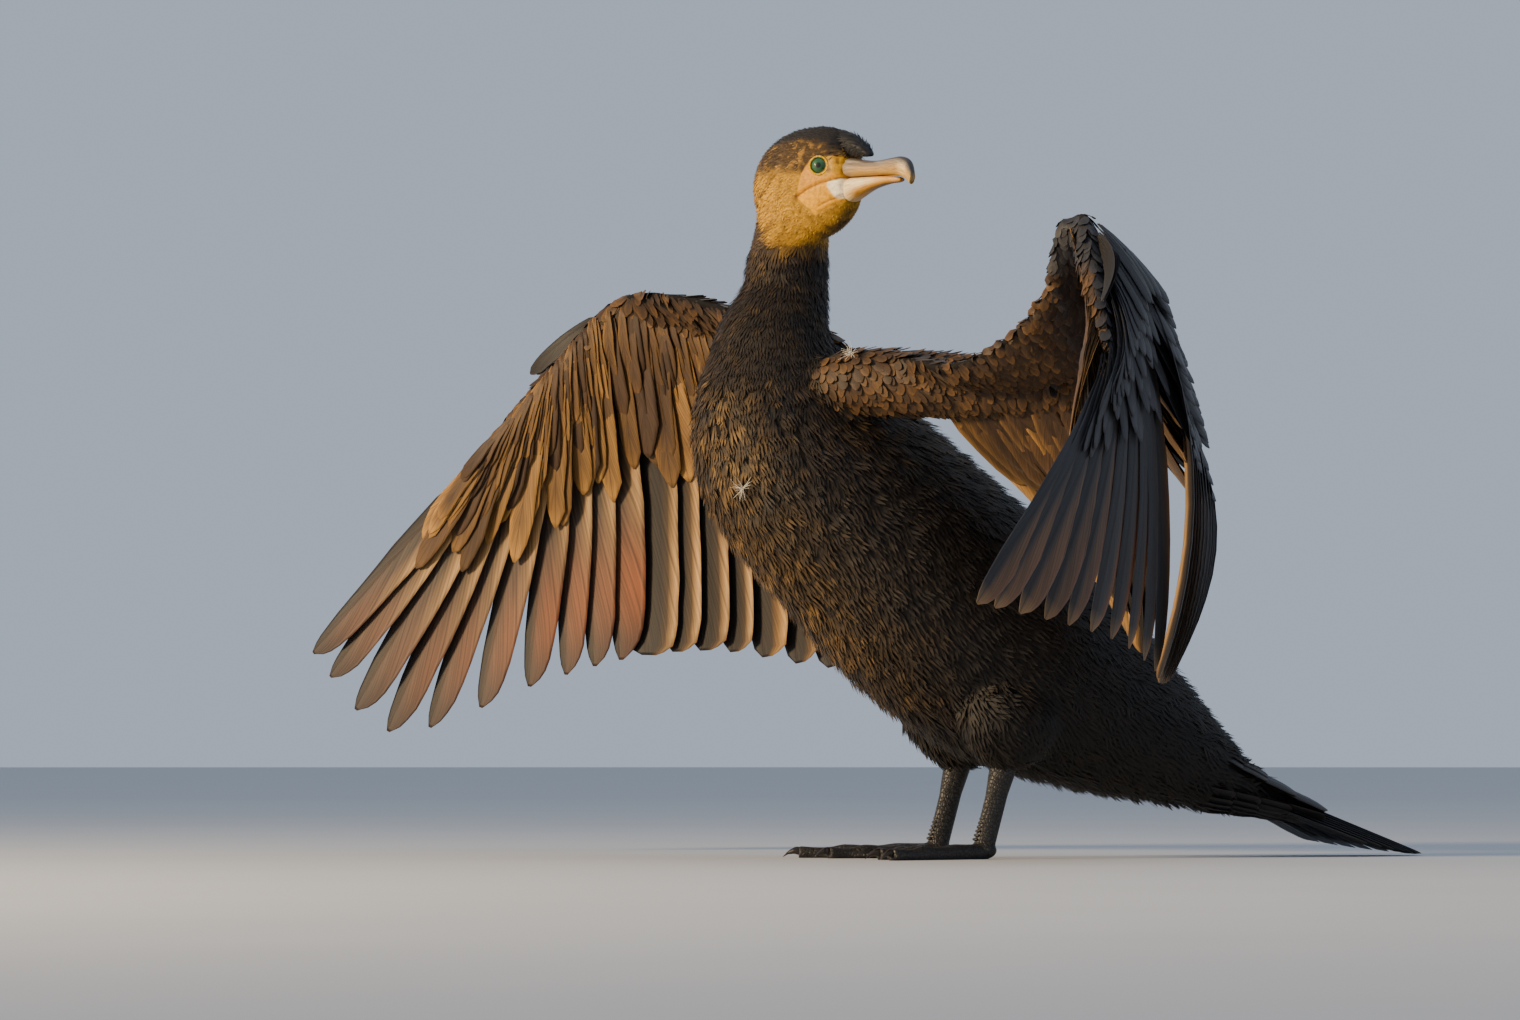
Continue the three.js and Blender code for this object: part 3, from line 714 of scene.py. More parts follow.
@dataclass(frozen=True)
class Cloudy(Finish):
    """One colour that a soft cloudiness varies: matt for what is round the bird and for down."""

    colour: str
    roughness: float = 0.9
    scale: float = 3.0
    span: tuple[float, float] = (0.0, 1.0)
    shades: tuple[float, float] = (0.96, 1.04)

    def surface(self, tree: NodeTree) -> Node:
        """The shader, on object coordinates."""
        place = node(tree, "ShaderNodeTexCoord")
        cloud = node(tree, "ShaderNodeTexNoise", {
            "Vector": place.outputs["Object"], "Scale": self.scale, "Detail": 2.0})
        shade = node(tree, "ShaderNodeMapRange", {
            "Value": cloud, 1: self.span[0], 2: self.span[1], 3: self.shades[0], 4: self.shades[1]})
        colour = node(tree, "ShaderNodeVectorMath", {0: tuple(linear(self.colour)), "Scale": shade},
                      operation="SCALE")
        return node(tree, "ShaderNodeBsdfPrincipled", {"Base Color": colour, "Roughness": self.roughness})


# Small warty beads of bare skin round the eye: smooth, a little greasy and uneven in colour
EYE_RING_SKIN = Cloudy("orange eye ring skin", "#e6b800", 0.4, 600.0, (0.3, 0.7), (0.55, 1.15))


# Where the head changes colour, as forward against up from between the eyes
CROWN_EDGE = [(-64, 6), (-57, 11), (-39, 16), (-14, 17.6), (-0.6, 15.2), (14, 10.4), (20.6, 4.8)]
GOLD_TOP = [(-64, -6), (-45, 0), (-28, 0), (-9, -4)]
GOLD_BOTTOM = [(-62, -20), (-46, -36), (-35, -50), (-25, -53), (7, -36), (20, -27)]
BARE_BACK = [(-33, -2.7), (-28, -5.2), (-19.6, -14), (-10.4, -10.5), (-3, -8), (4, -3), (7, 8)]
BARE_BOTTOM = [(-3, -32), (8, -26.4), (18, -22), (30, -18)]
BARE_TOP = [(-9, 4), (0, 7.4), (6, 6), (22, 5.6)]
# Folds of the throat, carved in and darkened with painted crease shade: height at the first place, rise, and
# the first place forward
THROAT_FOLDS = ((-31.0, 0.42, -2.7), (-27.2, 0.46, -1.0), (-23.0, 0.3, 8.0))
MOUTH = [(-14, -19.6), (-5, -15), (4, -11.6), (16.5, -8.6), (20, -8.3)]


def along_line(line: list[tuple[float, float]], values: Array) -> Array:
    """The second number of a line's points, read at values of the first."""
    first, second = zip(*line)
    return np.interp(values, first, second)


class Markings:
    """The colours of the bird, the same for its skin and its feathers."""

    crown = linear("#262322")
    forehead = linear("#17181b")
    brown = linear("#4c3a22")
    fleck = linear("#a87e38")
    # Cheek gold: the pale cheek feathering, partly tinted with painted warm sunlight
    cheek_gold_and_painted_sun = linear("#b98a20")
    gold_dark = linear("#543610")
    nape = linear("#3a2c1d")
    neck = linear("#110f0e")
    breast = linear("#1f1912")
    back = linear("#131110")
    belly = linear("#0e0c0b")
    lores = linear("#b08206")
    gular = linear("#dc9c00")
    cheek_skin = linear("#c98a00")
    mandible = linear("#fff0cc")
    # Dark line and corner of the mouth, and painted crease shade in the throat folds
    seam_and_crease_shade = linear("#5a2c10")
    shoulder = linear("#3a2d1f")

    def head(self, points: Array) -> tuple[Array, Array]:
        """Colours of the head, with painted crease shade along the folds of the throat.

        Args:
            points: Points in the bird's frame.

        Returns:
            Their colours, and how bare the skin is there, from 0 to 1.
        """
        local = to_head(points)
        x, z = local[:, 0], local[:, 2]
        jitter = 2.4 * (mottle(points, 3.2, 1) - 0.5)
        fine = mottle(points, 2.6, 2)
        coarse = mottle(points, 7.0, 3)
        colour = blended(self.brown, self.fleck, ease(0.55, 0.85, fine) * 0.8)
        colour = blended(colour, self.nape, ease(0.45, 0.75, coarse) * 0.5)
        inside = ease(-3, 5, along_line(GOLD_TOP, x) - z + 2 * jitter)
        inside *= ease(-4, 4, z - along_line(GOLD_BOTTOM, x) + 2 * jitter)
        inside *= ease(-60, -50, x + 2 * jitter)
        # The cheek patch, whose gold is partly painted warm sunlight
        cheek_gold_and_painted_sun = blended(self.cheek_gold_and_painted_sun, self.gold_dark, ease(0.5, 0.82, fine) * (0.45 + 0.4 * ease(-20, -50, x)))
        colour = blended(colour, cheek_gold_and_painted_sun, inside)
        below = ease(2, -12, z - along_line(GOLD_BOTTOM, x) + 3 * jitter)
        dark = blended(self.nape, self.neck, ease(-50, -66, z + 3 * jitter))
        dark = blended(dark, self.brown, ease(0.6, 0.85, fine) * 0.7 * ease(-78, -60, z))
        colour = blended(colour, dark, below)
        dark_cap = blended(self.crown, self.forehead, ease(4, 15, x))
        colour = blended(colour, dark_cap, ease(-2.5, 3.5, z - along_line(CROWN_EDGE, x) + 1.4 * jitter))
        rear = ease(-52, -62, x)
        colour = blended(colour, self.nape, rear * 0.8)
        bare = ease(-0.8, 1.2, x - along_line(BARE_BACK, z) + 0.5 * jitter)
        bare *= ease(-1.0, 1.0, z - along_line(BARE_BOTTOM, x) + 0.6 * jitter)
        bare *= ease(-1.0, 1.0, along_line(BARE_TOP, x) - z + 0.6 * jitter)
        mouth = along_line(MOUTH, x)
        skin = blended(self.gular, self.cheek_skin, ease(-1, 2, z - mouth))
        speckled = blended(self.lores, self.gold_dark, ease(0.5, 0.75, fine) * 0.75)
        skin = blended(skin, speckled, ease(1, 8, x) * ease(-2, 3, z + 6))
        horn = ease(-1, 1, x - 9.5 - 0.5 * np.maximum(-14 - z, 0)) * ease(0.4, -0.6, z - mouth)
        skin = blended(skin, self.mandible, horn * ease(-22.5, -20.5, z))
        # Painted crease shade along the folds of the throat
        for start, rise, from_x in THROAT_FOLDS:
            fold = np.exp(-((z - start - rise * (x - from_x)) / 0.55) ** 2) * ease(from_x, from_x + 4, x)
            skin = blended(skin, self.seam_and_crease_shade, 0.6 * fold)
        colour = blended(colour, skin, bare)
        line = np.exp(-((z - mouth) / 0.6) ** 2) * ease(-15.5, -13, x) * ease(24, 20, x)
        colour = blended(colour, self.seam_and_crease_shade, 0.9 * line)
        corner = np.exp(-(((x + 13.5) / 2.2) ** 2 + ((z + 19.6) / 1.6) ** 2))
        return blended(colour, self.seam_and_crease_shade, 0.75 * corner), bare

    def body(self, points: Array) -> Array:
        """Colours of the neck, the trunk and the thighs, from points in the bird's frame.

        Args:
            points: Points in the bird's frame.

        Returns:
            A colour for each.
        """
        y, z = points[:, 1], points[:, 2]
        coarse = mottle(points, 22, 4)
        fine = mottle(points, 6, 5)
        front = ease(10, -100, y - 0.35 * (z - 200))
        colour = blended(self.back, self.breast, front * (0.4 + 0.6 * coarse))
        colour = blended(colour, self.belly, ease(20, 90, y) * ease(130, 90, z))
        colour = blended(colour, self.neck, ease(330, 372, z) * 0.85)
        colour = blended(colour, self.nape, ease(385, 402, z + 6 * (fine - 0.5)) * fine)
        return colour * (0.8 + 0.45 * fine)[:, None]

    def read(self, points: Array) -> tuple[Array, Array]:
        """Colours and bareness of any points on the bird.

        Args:
            points: Points in the bird's frame.

        Returns:
            Their colours, and how bare the skin is there.
        """
        local = to_head(points)
        ahead, aside = np.abs(local[:, 0]), np.abs(local[:, 1])
        on_head = ease(-58, -46, local[:, 2]) * ease(80, 70, ahead) * ease(60, 50, aside)
        head, bare = self.head(points)
        return blended(self.body(points), head, on_head), bare * (on_head > 0.5)


class Spine:
    """The line through the neck and trunk that the body is lofted on."""

    samples = np.linspace(0, TAIL_ROOT, 160)

    @staticmethod
    def frame(at: Array) -> tuple[Array, Array, Array, Array, Array]:
        """Centre, way to the tail, way to the back, half depth and half width at stations.

        Args:
            at: Stations on the spine.

        Returns:
            One row or value of each for every station.
        """
        here = between(SPINE, at)
        before = between(SPINE, np.maximum(at - 0.02, 0))
        after = between(SPINE, np.minimum(at + 0.02, TAIL_ROOT))
        flat = np.zeros(len(here))
        centre = np.column_stack([flat, here[:, 0], here[:, 1]])
        along = unit(np.column_stack([flat, after[:, 0] - before[:, 0], after[:, 1] - before[:, 1]]))
        back = np.column_stack([flat, -along[:, 2], along[:, 1]])
        return centre, along, back, here[:, 2], here[:, 3]

    @classmethod
    def tail_root(cls) -> Array:
        """The end of the spine, where the tail starts."""
        return cls.frame(np.array([TAIL_ROOT]))[0][0]

    @classmethod
    def nearest(cls, points: Array) -> Array:
        """The station nearest to each point."""
        centre = cls.frame(cls.samples)[0]
        away = (points[:, None, 1] - centre[None, :, 1]) ** 2 + (points[:, None, 2] - centre[None, :, 2]) ** 2
        return cls.samples[np.argmin(away, axis=1)]

    @classmethod
    def outside(cls, points: Array) -> Array:
        """How far out points are, where 1 is on the body's outline."""
        centre, _, back, depth, width = cls.frame(cls.nearest(points))
        rise = dot(points - centre, back)[:, 0]
        return np.hypot(points[:, 0] / width, rise / depth)


@dataclass
class Quills:
    """The flight feathers of a wing, outermost first, one row of each array for each feather."""

    root: Array
    tip: Array
    bone: Array
    hang: Array
    normal: Array
    tip_normal: Array
    toward: Array
    part: Array
    bow: Array


@dataclass
class Wing:
    """One wing: its joints, the line through its feather tips, and its front edge."""

    side: Side
    shoulder: tuple
    elbow: tuple
    wrist: tuple
    fingertip: tuple
    bows: tuple[float, float, float]
    tips: list
    front: list
    counts: tuple[int, int, int] = (10, 10, 4)
    spans: tuple = ((0.12, 0.97), (0.08, 0.9), (0.3, 0.85))
    steps: tuple = (10, 10, 3)
    sink: float = 7.0
    stack: float = 0.6
    tuck: float = 9.0

    @property
    def joints(self) -> list[tuple[Array, Array]]:
        """Start and end of the hand, the forearm and the upper arm."""
        shoulder, elbow, wrist, end = map(np.array, (self.shoulder, self.elbow, self.wrist, self.fingertip))
        return [(wrist, end), (elbow, wrist), (shoulder, elbow)]

    def quills(self) -> Quills:
        """Works out every flight feather, as fans that turn smoothly past each joint."""
        tips, bones, parts = [], [], []
        total = sum(self.steps)
        first = 0
        for part, ((start, end), count, (inner, outer), steps) in enumerate(
                zip(self.joints, self.counts, self.spans, self.steps)):
            along = np.linspace(outer, inner, count)
            share = (first + np.linspace(0, steps - 1, count)) / (total - 1)
            first += steps
            bone = start + (end - start) * along[:, None]
            tips.append(between(self.tips, share * (len(self.tips) - 1)))
            bones.append(bone)
            parts.append(np.full(count, part))
        tip, bone, part = np.concatenate(tips), np.concatenate(bones), np.concatenate(parts)
        hang = unit(tip - bone)
        root = bone + hang * self.sink
        outer = np.maximum(np.arange(len(tip)) - 1, 0)
        inner = np.minimum(np.arange(len(tip)) + 1, len(tip) - 1)
        tip_spread = tip[outer] - tip[inner]
        spread = root[outer] - root[inner] + 0.25 * tip_spread
        normal, tip_normal = self.upper_side(spread, hang), self.upper_side(tip_spread, hang)
        toward = tip_spread + spread
        toward = unit(toward - hang * dot(toward, hang))
        made = Quills(root, tip, bone, hang, normal, tip_normal, toward, part,
                      np.array(self.bows, float)[part])
        self.settle_quills(made)
        return made

    @staticmethod
    def upper_side(spread: Array, hang: Array) -> Array:
        """The upper side of feathers that spread one way and hang another."""
        normal = unit(np.cross(spread, hang))
        wrong = normal[:, 1] + 0.2 * normal[:, 2] < 0
        return np.where(wrong[:, None], -normal, normal)

    def settle_quills(self, made: Quills) -> None:
        """Evens out the upper sides, then lays each feather over the one outside it.

        Args:
            made: The wing's quills, which are changed.
        """
        upper = made.part == 2
        for _ in range(5):
            for sides in (made.normal, made.tip_normal):
                total = sides.copy()
                same = (upper[1:] == upper[:-1])[:, None]
                total[1:] += sides[:-1] * same
                total[:-1] += sides[1:] * same
                sides[:] = unit(total)
        made.tip[upper] -= made.tip_normal[upper] * self.tuck
        for i in range(1, len(upper)):
            if upper[i] != upper[i - 1]:
                continue
            for ends, sides in ((made.root, made.normal), (made.tip, made.tip_normal)):
                rise = float(np.dot(ends[i] - ends[i - 1], sides[i]))
                ends[i] += sides[i] * max(self.stack - rise, 0)

    def arm_rings(self, part: int, hang: Array) -> Array:
        """Rings of the flesh of one arm length, inside its coverts.

        Args:
            part: 0 for the hand, 1 for the forearm and 2 for the upper arm.
            hang: The way that its feathers hang.

        Returns:
            Points by ring and place round it.
        """
        sizes = (
            [[11, 7, 0], [9, 6, 0], [5, 4, 0]],
            [[18, 10, 6], [14, 8, 3], [12, 7, 0]],
            [[22, 18, 2], [20, 13, 4], [18, 10, 6]],
        )[part]
        past = ((10, 2), (12, 8), (30, 12))[part]
        start, end = self.joints[part]
        length = float(np.linalg.norm(end - start))
        along = (end - start) / length
        chord = unit(-hang + along * float(np.dot(hang, along)))
        across = np.cross(along, chord)
        at = np.linspace(-past[0], length + past[1], 12)
        half, thick, offset = between(sizes, np.clip(at / length, 0, 1) * 2).T
        taper = np.sqrt(np.clip(1 - (np.linspace(-1, 1, 12) ** 8) * 0.7, 0, 1))
        centres = start + along * at[:, None] + chord * offset[:, None]
        return ellipses(centres, chord, across, half * taper, thick * taper, 16)

    def front_rings(self) -> Array:
        """Rings of the fold of skin between the front edge and the arm bones."""
        count = 14
        share = np.linspace(0, 1, count)
        shoulder, elbow, wrist = map(np.array, (self.shoulder, self.elbow, self.wrist))
        edge = between(self.front, share * (len(self.front) - 1))
        bend = 0.5
        bone = np.where(share[:, None] < bend, shoulder + (elbow - shoulder) * (share / bend)[:, None] * 0.8,
                        elbow + (wrist - elbow) * ((share - bend) / (1 - bend))[:, None])
        bone = bone * 0.75 + edge * 0.25
        middle = (edge + bone) / 2
        way = unit(edge - bone)
        along = unit(np.gradient(middle, axis=0))
        across = unit(np.cross(along, way))
        half = np.linalg.norm(edge - bone, axis=1) / 2
        return ellipses(middle, way, across, half, np.full(count, 5.0), 16)


WINGS = {
    Side.LEFT: Wing(
        Side.LEFT, (59, -111, 308), (169, 27, 296), (284, -67, 396), (350, -85, 317), (14, 30, 14),
        [[437, -218, 159], [395, -150, 150], [349, -78, 138], [305, -26, 118], [248, -2, 112],
         [200, 30, 116], [152, 58, 130], [110, 68, 150]],
        [[62, -112, 322], [96, -99, 324], [138, -90, 316], [193, -79, 330], [245, -75, 358],
         [263, -78, 384], [278, -80, 403]]),
    Side.RIGHT: Wing(
        Side.RIGHT, (-55, -106, 312), (-186, -20, 335), (-306, -122, 372), (-382, -190, 275), (10, 10, 10),
        [[-492, -274, 140], [-440, -238, 84], [-363, -158, 118], [-318, -108, 135], [-262, -70, 139],
         [-198, -24, 128], [-140, 22, 125], [-98, 52, 140]],
        [[-58, -108, 330], [-98, -106, 348], [-145, -107, 364], [-191, -112, 376], [-250, -122, 384],
         [-285, -124, 385], [-306, -126, 378]]),
}


@dataclass
class Skin:
    """The one skin over head, neck, trunk, thighs and arms, inside the coat's depth."""

    place: Place
    markings: Markings
    quills: dict[Side, Quills]
    voxel: float = 3.0
    thigh: tuple = ((46, -2, 122, 20, 16), (45, 2, 102, 36, 25), (42, 5, 84, 36, 25), (38, 6, 70, 24, 18),
                    (34, 5, 61, 10.5, 9.5))
    tail_root: tuple = ((-30, 21, 20), (0, 24, 19), (16, 22, 16), (34, 17, 9.5), (50, 11, 4.5), (58, 5, 2))
    eye_side: float = 14.0
    eye_forward: float = 1.0
    eye_turn: float = math.radians(38)
    eye_radius: float = 7.0
    # How far from the eye's middle its lids and socket lie, by how far they are off its axis
    lids: tuple = ((0, 5.4), (4.9, 6.1), (5.4, 7.25), (6.2, 7.5), (7.4, 7.5))
    points: Array = field(default_factory=lambda: np.zeros((0, 3)))
    triangles: Array = field(default_factory=lambda: np.zeros((0, 3), int))
    tree: BVHTree | None = None

    @staticmethod
    def coat(at: Array) -> Array:
        """Depth of the feathers over the skin at spine stations."""
        return np.interp(at, [0, 2.6, 3.6, 5, 7, 12, 13], [1.2, 1.6, 2.2, 3.6, 5, 5, 3])

    def shells(self) -> Shape:
        """Closed lofts of every fleshy part, which overlap."""
        shape = Shape()
        at = np.linspace(0, TAIL_ROOT, 60)
        centre, _, back, depth, width = Spine.frame(at)
        coat = self.coat(at)
        tube(shape, ellipses(centre, LEFTWARD, back, width - coat, depth - coat, 48))
        rows = between(SKULL, np.linspace(0, len(SKULL) - 1, 30))
        centres = from_head(np.column_stack([rows[:, 0], np.zeros(30), (rows[:, 1] + rows[:, 2]) / 2]))
        half, tall = rows[:, 3] - HEAD_COAT, (rows[:, 1] - rows[:, 2]) / 2 - HEAD_COAT
        tube(shape, ellipses(centres, HEAD_LEFT, UP, half, tall, 40))
        rows = between(self.tail_root, np.linspace(0, len(self.tail_root) - 1, 16))
        centres = Spine.tail_root() + rows[:, :1] * TAIL_ALONG
        tube(shape, ellipses(centres, LEFTWARD, TAIL_ABOVE, rows[:, 1], rows[:, 2], 28))
        for side in Side:
            rows = between(self.thigh, np.linspace(0, 4, 16))
            centres = rows[:, :3] * [side.sign, 1, 1]
            inset = np.interp(rows[:, 2], [60, 80], [0.4, 4.0])
            tube(shape, ellipses(centres, LEFTWARD, REARWARD, rows[:, 4] - inset,
                                 rows[:, 3] - inset, 24))
            wing, quills = WINGS[side], self.quills[side]
            for part in range(3):
                own = quills.hang[quills.part == part]
                tube(shape, wing.arm_rings(part, own[len(own) // 2]))
            tube(shape, wing.front_rings())
        return shape

    @staticmethod
    def on_face(points: Array, back: float) -> Array:
        """Which points are on the head, ahead of a place on it.

        Args:
            points: Points in the bird's frame.
            back: How far forward the place is, from between the eyes.

        Returns:
            True for each point that is.
        """
        local = to_head(points)
        near = (np.abs(local[:, 1]) < 45) & (local[:, 2] > -58) & (local[:, 2] < 40)
        return near & (local[:, 0] > back) & (local[:, 0] < 40)

    def refined(self, mesh: Mesh) -> Mesh:
        """Finer faces on the head, and finer again round the eyes, bill and mouth.

        Args:
            mesh: The skin, in mm, which is changed.

        Returns:
            The same mesh.
        """
        for back in (-80.0, -26.0):
            work = bmesh.new()
            work.from_mesh(mesh)
            work.verts.ensure_lookup_table()
            spots = np.array([vert.co for vert in work.verts])
            chosen = self.on_face(spots, back)
            edges = [edge for edge in work.edges
                     if chosen[edge.verts[0].index] and chosen[edge.verts[1].index]]
            bmesh.ops.subdivide_edges(work, edges=edges, cuts=1, use_grid_fill=True)
            for _ in range(3):
                verts = [vert for vert, near in zip(work.verts, self.on_face(
                    np.array([vert.co for vert in work.verts]), back)) if near]
                bmesh.ops.smooth_vert(work, verts=verts, factor=0.5, use_axis_x=True, use_axis_y=True,
                                      use_axis_z=True)
            bmesh.ops.triangulate(work, faces=[face for face in work.faces if len(face.verts) > 4])
            work.to_mesh(mesh)
            work.free()
        return mesh

    def eye_axis(self, side: Side) -> tuple[Array, Array]:
        """Middle of an eyeball and the way it looks, in the head's own frame."""
        middle = np.array([self.eye_forward, side.sign * self.eye_side, 0.0])
        look = np.array([math.sin(self.eye_turn), side.sign * math.cos(self.eye_turn), 0.0])
        return middle, look

    def round_eye(self, local: Array, side: Side) -> tuple[Array, Array, Array]:
        """How points in the head's frame lie from an eye: offset, ahead of it and off its axis.

        Args:
            local: Points in the head's frame.
            side: Which eye.

        Returns:
            The three, for each point.
        """
        middle, look = self.eye_axis(side)
        offset = local - middle
        ahead = dot(offset, look)
        return offset, ahead[:, 0], np.linalg.norm(offset - ahead * look, axis=1)

    def carve(self, points: Array) -> Array:
        """Sets in the eye sockets, the line of the mouth and the folds of the throat.

        Args:
            points: Points in the bird's frame.

        Returns:
            The moved points.
        """
        local = to_head(points)
        near = self.on_face(points, -70)
        for side in Side:
            offset, ahead, radial = self.round_eye(local, side)
            far = np.maximum(np.linalg.norm(offset, axis=1), 1e-6)
            wanted = along_line(self.lids, radial)
            pull = ease(9.5, 6.0, radial) * (ahead > 0) * near
            local += offset * (((wanted / far) - 1) * pull)[:, None]
        x, z = local[:, 0], local[:, 2]
        mouth = along_line(MOUTH, x)
        groove = np.exp(-((z - mouth) / 1.0) ** 2) * ease(-16, -12, x) * ease(26, 20, x)
        folds = sum(np.exp(-((z - start - rise * (x - from_x)) / 0.9) ** 2) * ease(from_x, from_x + 4, x)
                    for start, rise, from_x in THROAT_FOLDS)
        inward = -np.sign(local[:, 1]) * (1.1 * groove + 0.5 * np.clip(folds, 0, 1)) * near
        local[:, 1] += inward * (np.abs(local[:, 1]) > 3)
        return from_head(local)

    def build(self) -> Object:
        """Makes, colours and fixes the skin, and keeps its surface for the coat."""
        mesh = self.refined(one_surface(self.shells(), "skin", self.voxel, 6))
        points = self.carve(read_points(mesh))
        mesh.vertices.foreach_set("co", points.ravel())
        self.points, self.triangles = points, read_triangles(mesh)
        self.tree = BVHTree.FromPolygons(points.tolist(), self.triangles.tolist())
        colour, bare = self.markings.read(points)
        under = np.where(bare[:, None] > 0.5, 1.0, 0.75)
        for old in list(mesh.color_attributes):
            mesh.color_attributes.remove(old)
        tint = mesh.color_attributes.new("tint", "FLOAT_COLOR", "POINT")
        tint.data.foreach_set("color", np.column_stack([colour * under, np.ones(len(points))]).ravel())
        bareness = mesh.attributes.new("bare", "FLOAT", "POINT")
        bareness.data.foreach_set("value", bare)
        move_points(mesh, self.place.world(points))
        made = new_object("skin", mesh, LivingSkin().build())
        return settle(made, "body_plumage", "torso", "neck_lower", "neck_upper", "head",
                      "thigh_left", "thigh_right")


class Region(Enum):
    """A part of the skin that has its own kind of small feather."""

    HEAD = "head"
    NECK = "neck"
    TRUNK = "trunk"
    THIGHS = "thighs"
    LEFT_ARM = "left_arm"
    RIGHT_ARM = "right_arm"


ARMS = (Region.LEFT_ARM, Region.RIGHT_ARM)


def regions(points: Array) -> Array:
    """The region of each point, as its place in the list of all regions.

    Args:
        points: Points in the bird's frame.

    Returns:
        Their numbers.
    """
    at = Spine.nearest(points)
    local = to_head(points)
    found = np.full(len(points), 2)
    found[at < NECK_ROOT + 0.3] = 1
    out = Spine.outside(points) > 1.06
    found[out & (points[:, 2] < 128) & (np.abs(points[:, 0]) < 90)] = 3
    beyond = out & (points[:, 2] > 225) & (np.abs(points[:, 0]) > 48) & (points[:, 2] < 420)
    found[beyond & (points[:, 0] > 0)] = 4
    found[beyond & (points[:, 0] < 0)] = 5
    on_head = (local[:, 2] > -50) & (np.abs(local[:, 0]) < 72) & (np.abs(local[:, 1]) < 50)
    found[on_head] = 0
    return found


@dataclass(frozen=True)
class Cover:
    """One kind of small feather: sizes in mm, and how it splits at its tip."""

    spacing: float
    length: float
    width: float
    seat: float
    rise: float
    fingers: int = 3
    columns: int = 2
    fan: float = 0.22
    jitter: float = 0.2
    along: tuple = (0.0, 0.35, 0.7, 1.0)
    outline: tuple = (0.7, 1.0, 0.8, 0.12)
    # Share of feathers whose tips get a painted glint
    glint: float = 0.35


# How each region is covered
COVERS = {
    Region.HEAD: Cover(1.65, 4.6, 1.25, -0.2, 1.1, fingers=1, fan=0.0, jitter=0.3, along=(0.0, 0.55, 1.0),
                       outline=(0.8, 1.0, 0.15), glint=0.35),
    Region.NECK: Cover(2.8, 9.5, 3.2, 0.0, 2.4, fingers=3, jitter=0.26, glint=0.2),
    Region.TRUNK: Cover(4.2, 14.5, 5.6, 0.2, 4.8, fingers=3, jitter=0.3, glint=0.3),
    Region.THIGHS: Cover(4.0, 14.0, 5.4, 0.3, 4.6, fingers=3, jitter=0.3, glint=0.25),
    Region.LEFT_ARM: Cover(3.9, 12.0, 6.4, 0.3, 3.0, fingers=1, columns=3, fan=0.0, jitter=0.25,
                           along=(0.0, 0.3, 0.6, 0.85, 1.0), outline=(0.45, 0.9, 1.0, 0.75, 0.2), glint=0.5),
    Region.RIGHT_ARM: Cover(4.8, 14.0, 8.2, 0.4, 3.6, fingers=1, columns=3, fan=0.0, jitter=0.3,
                            along=(0.0, 0.3, 0.6, 0.85, 1.0), outline=(0.45, 0.9, 1.0, 0.75, 0.2), glint=0.6),
}


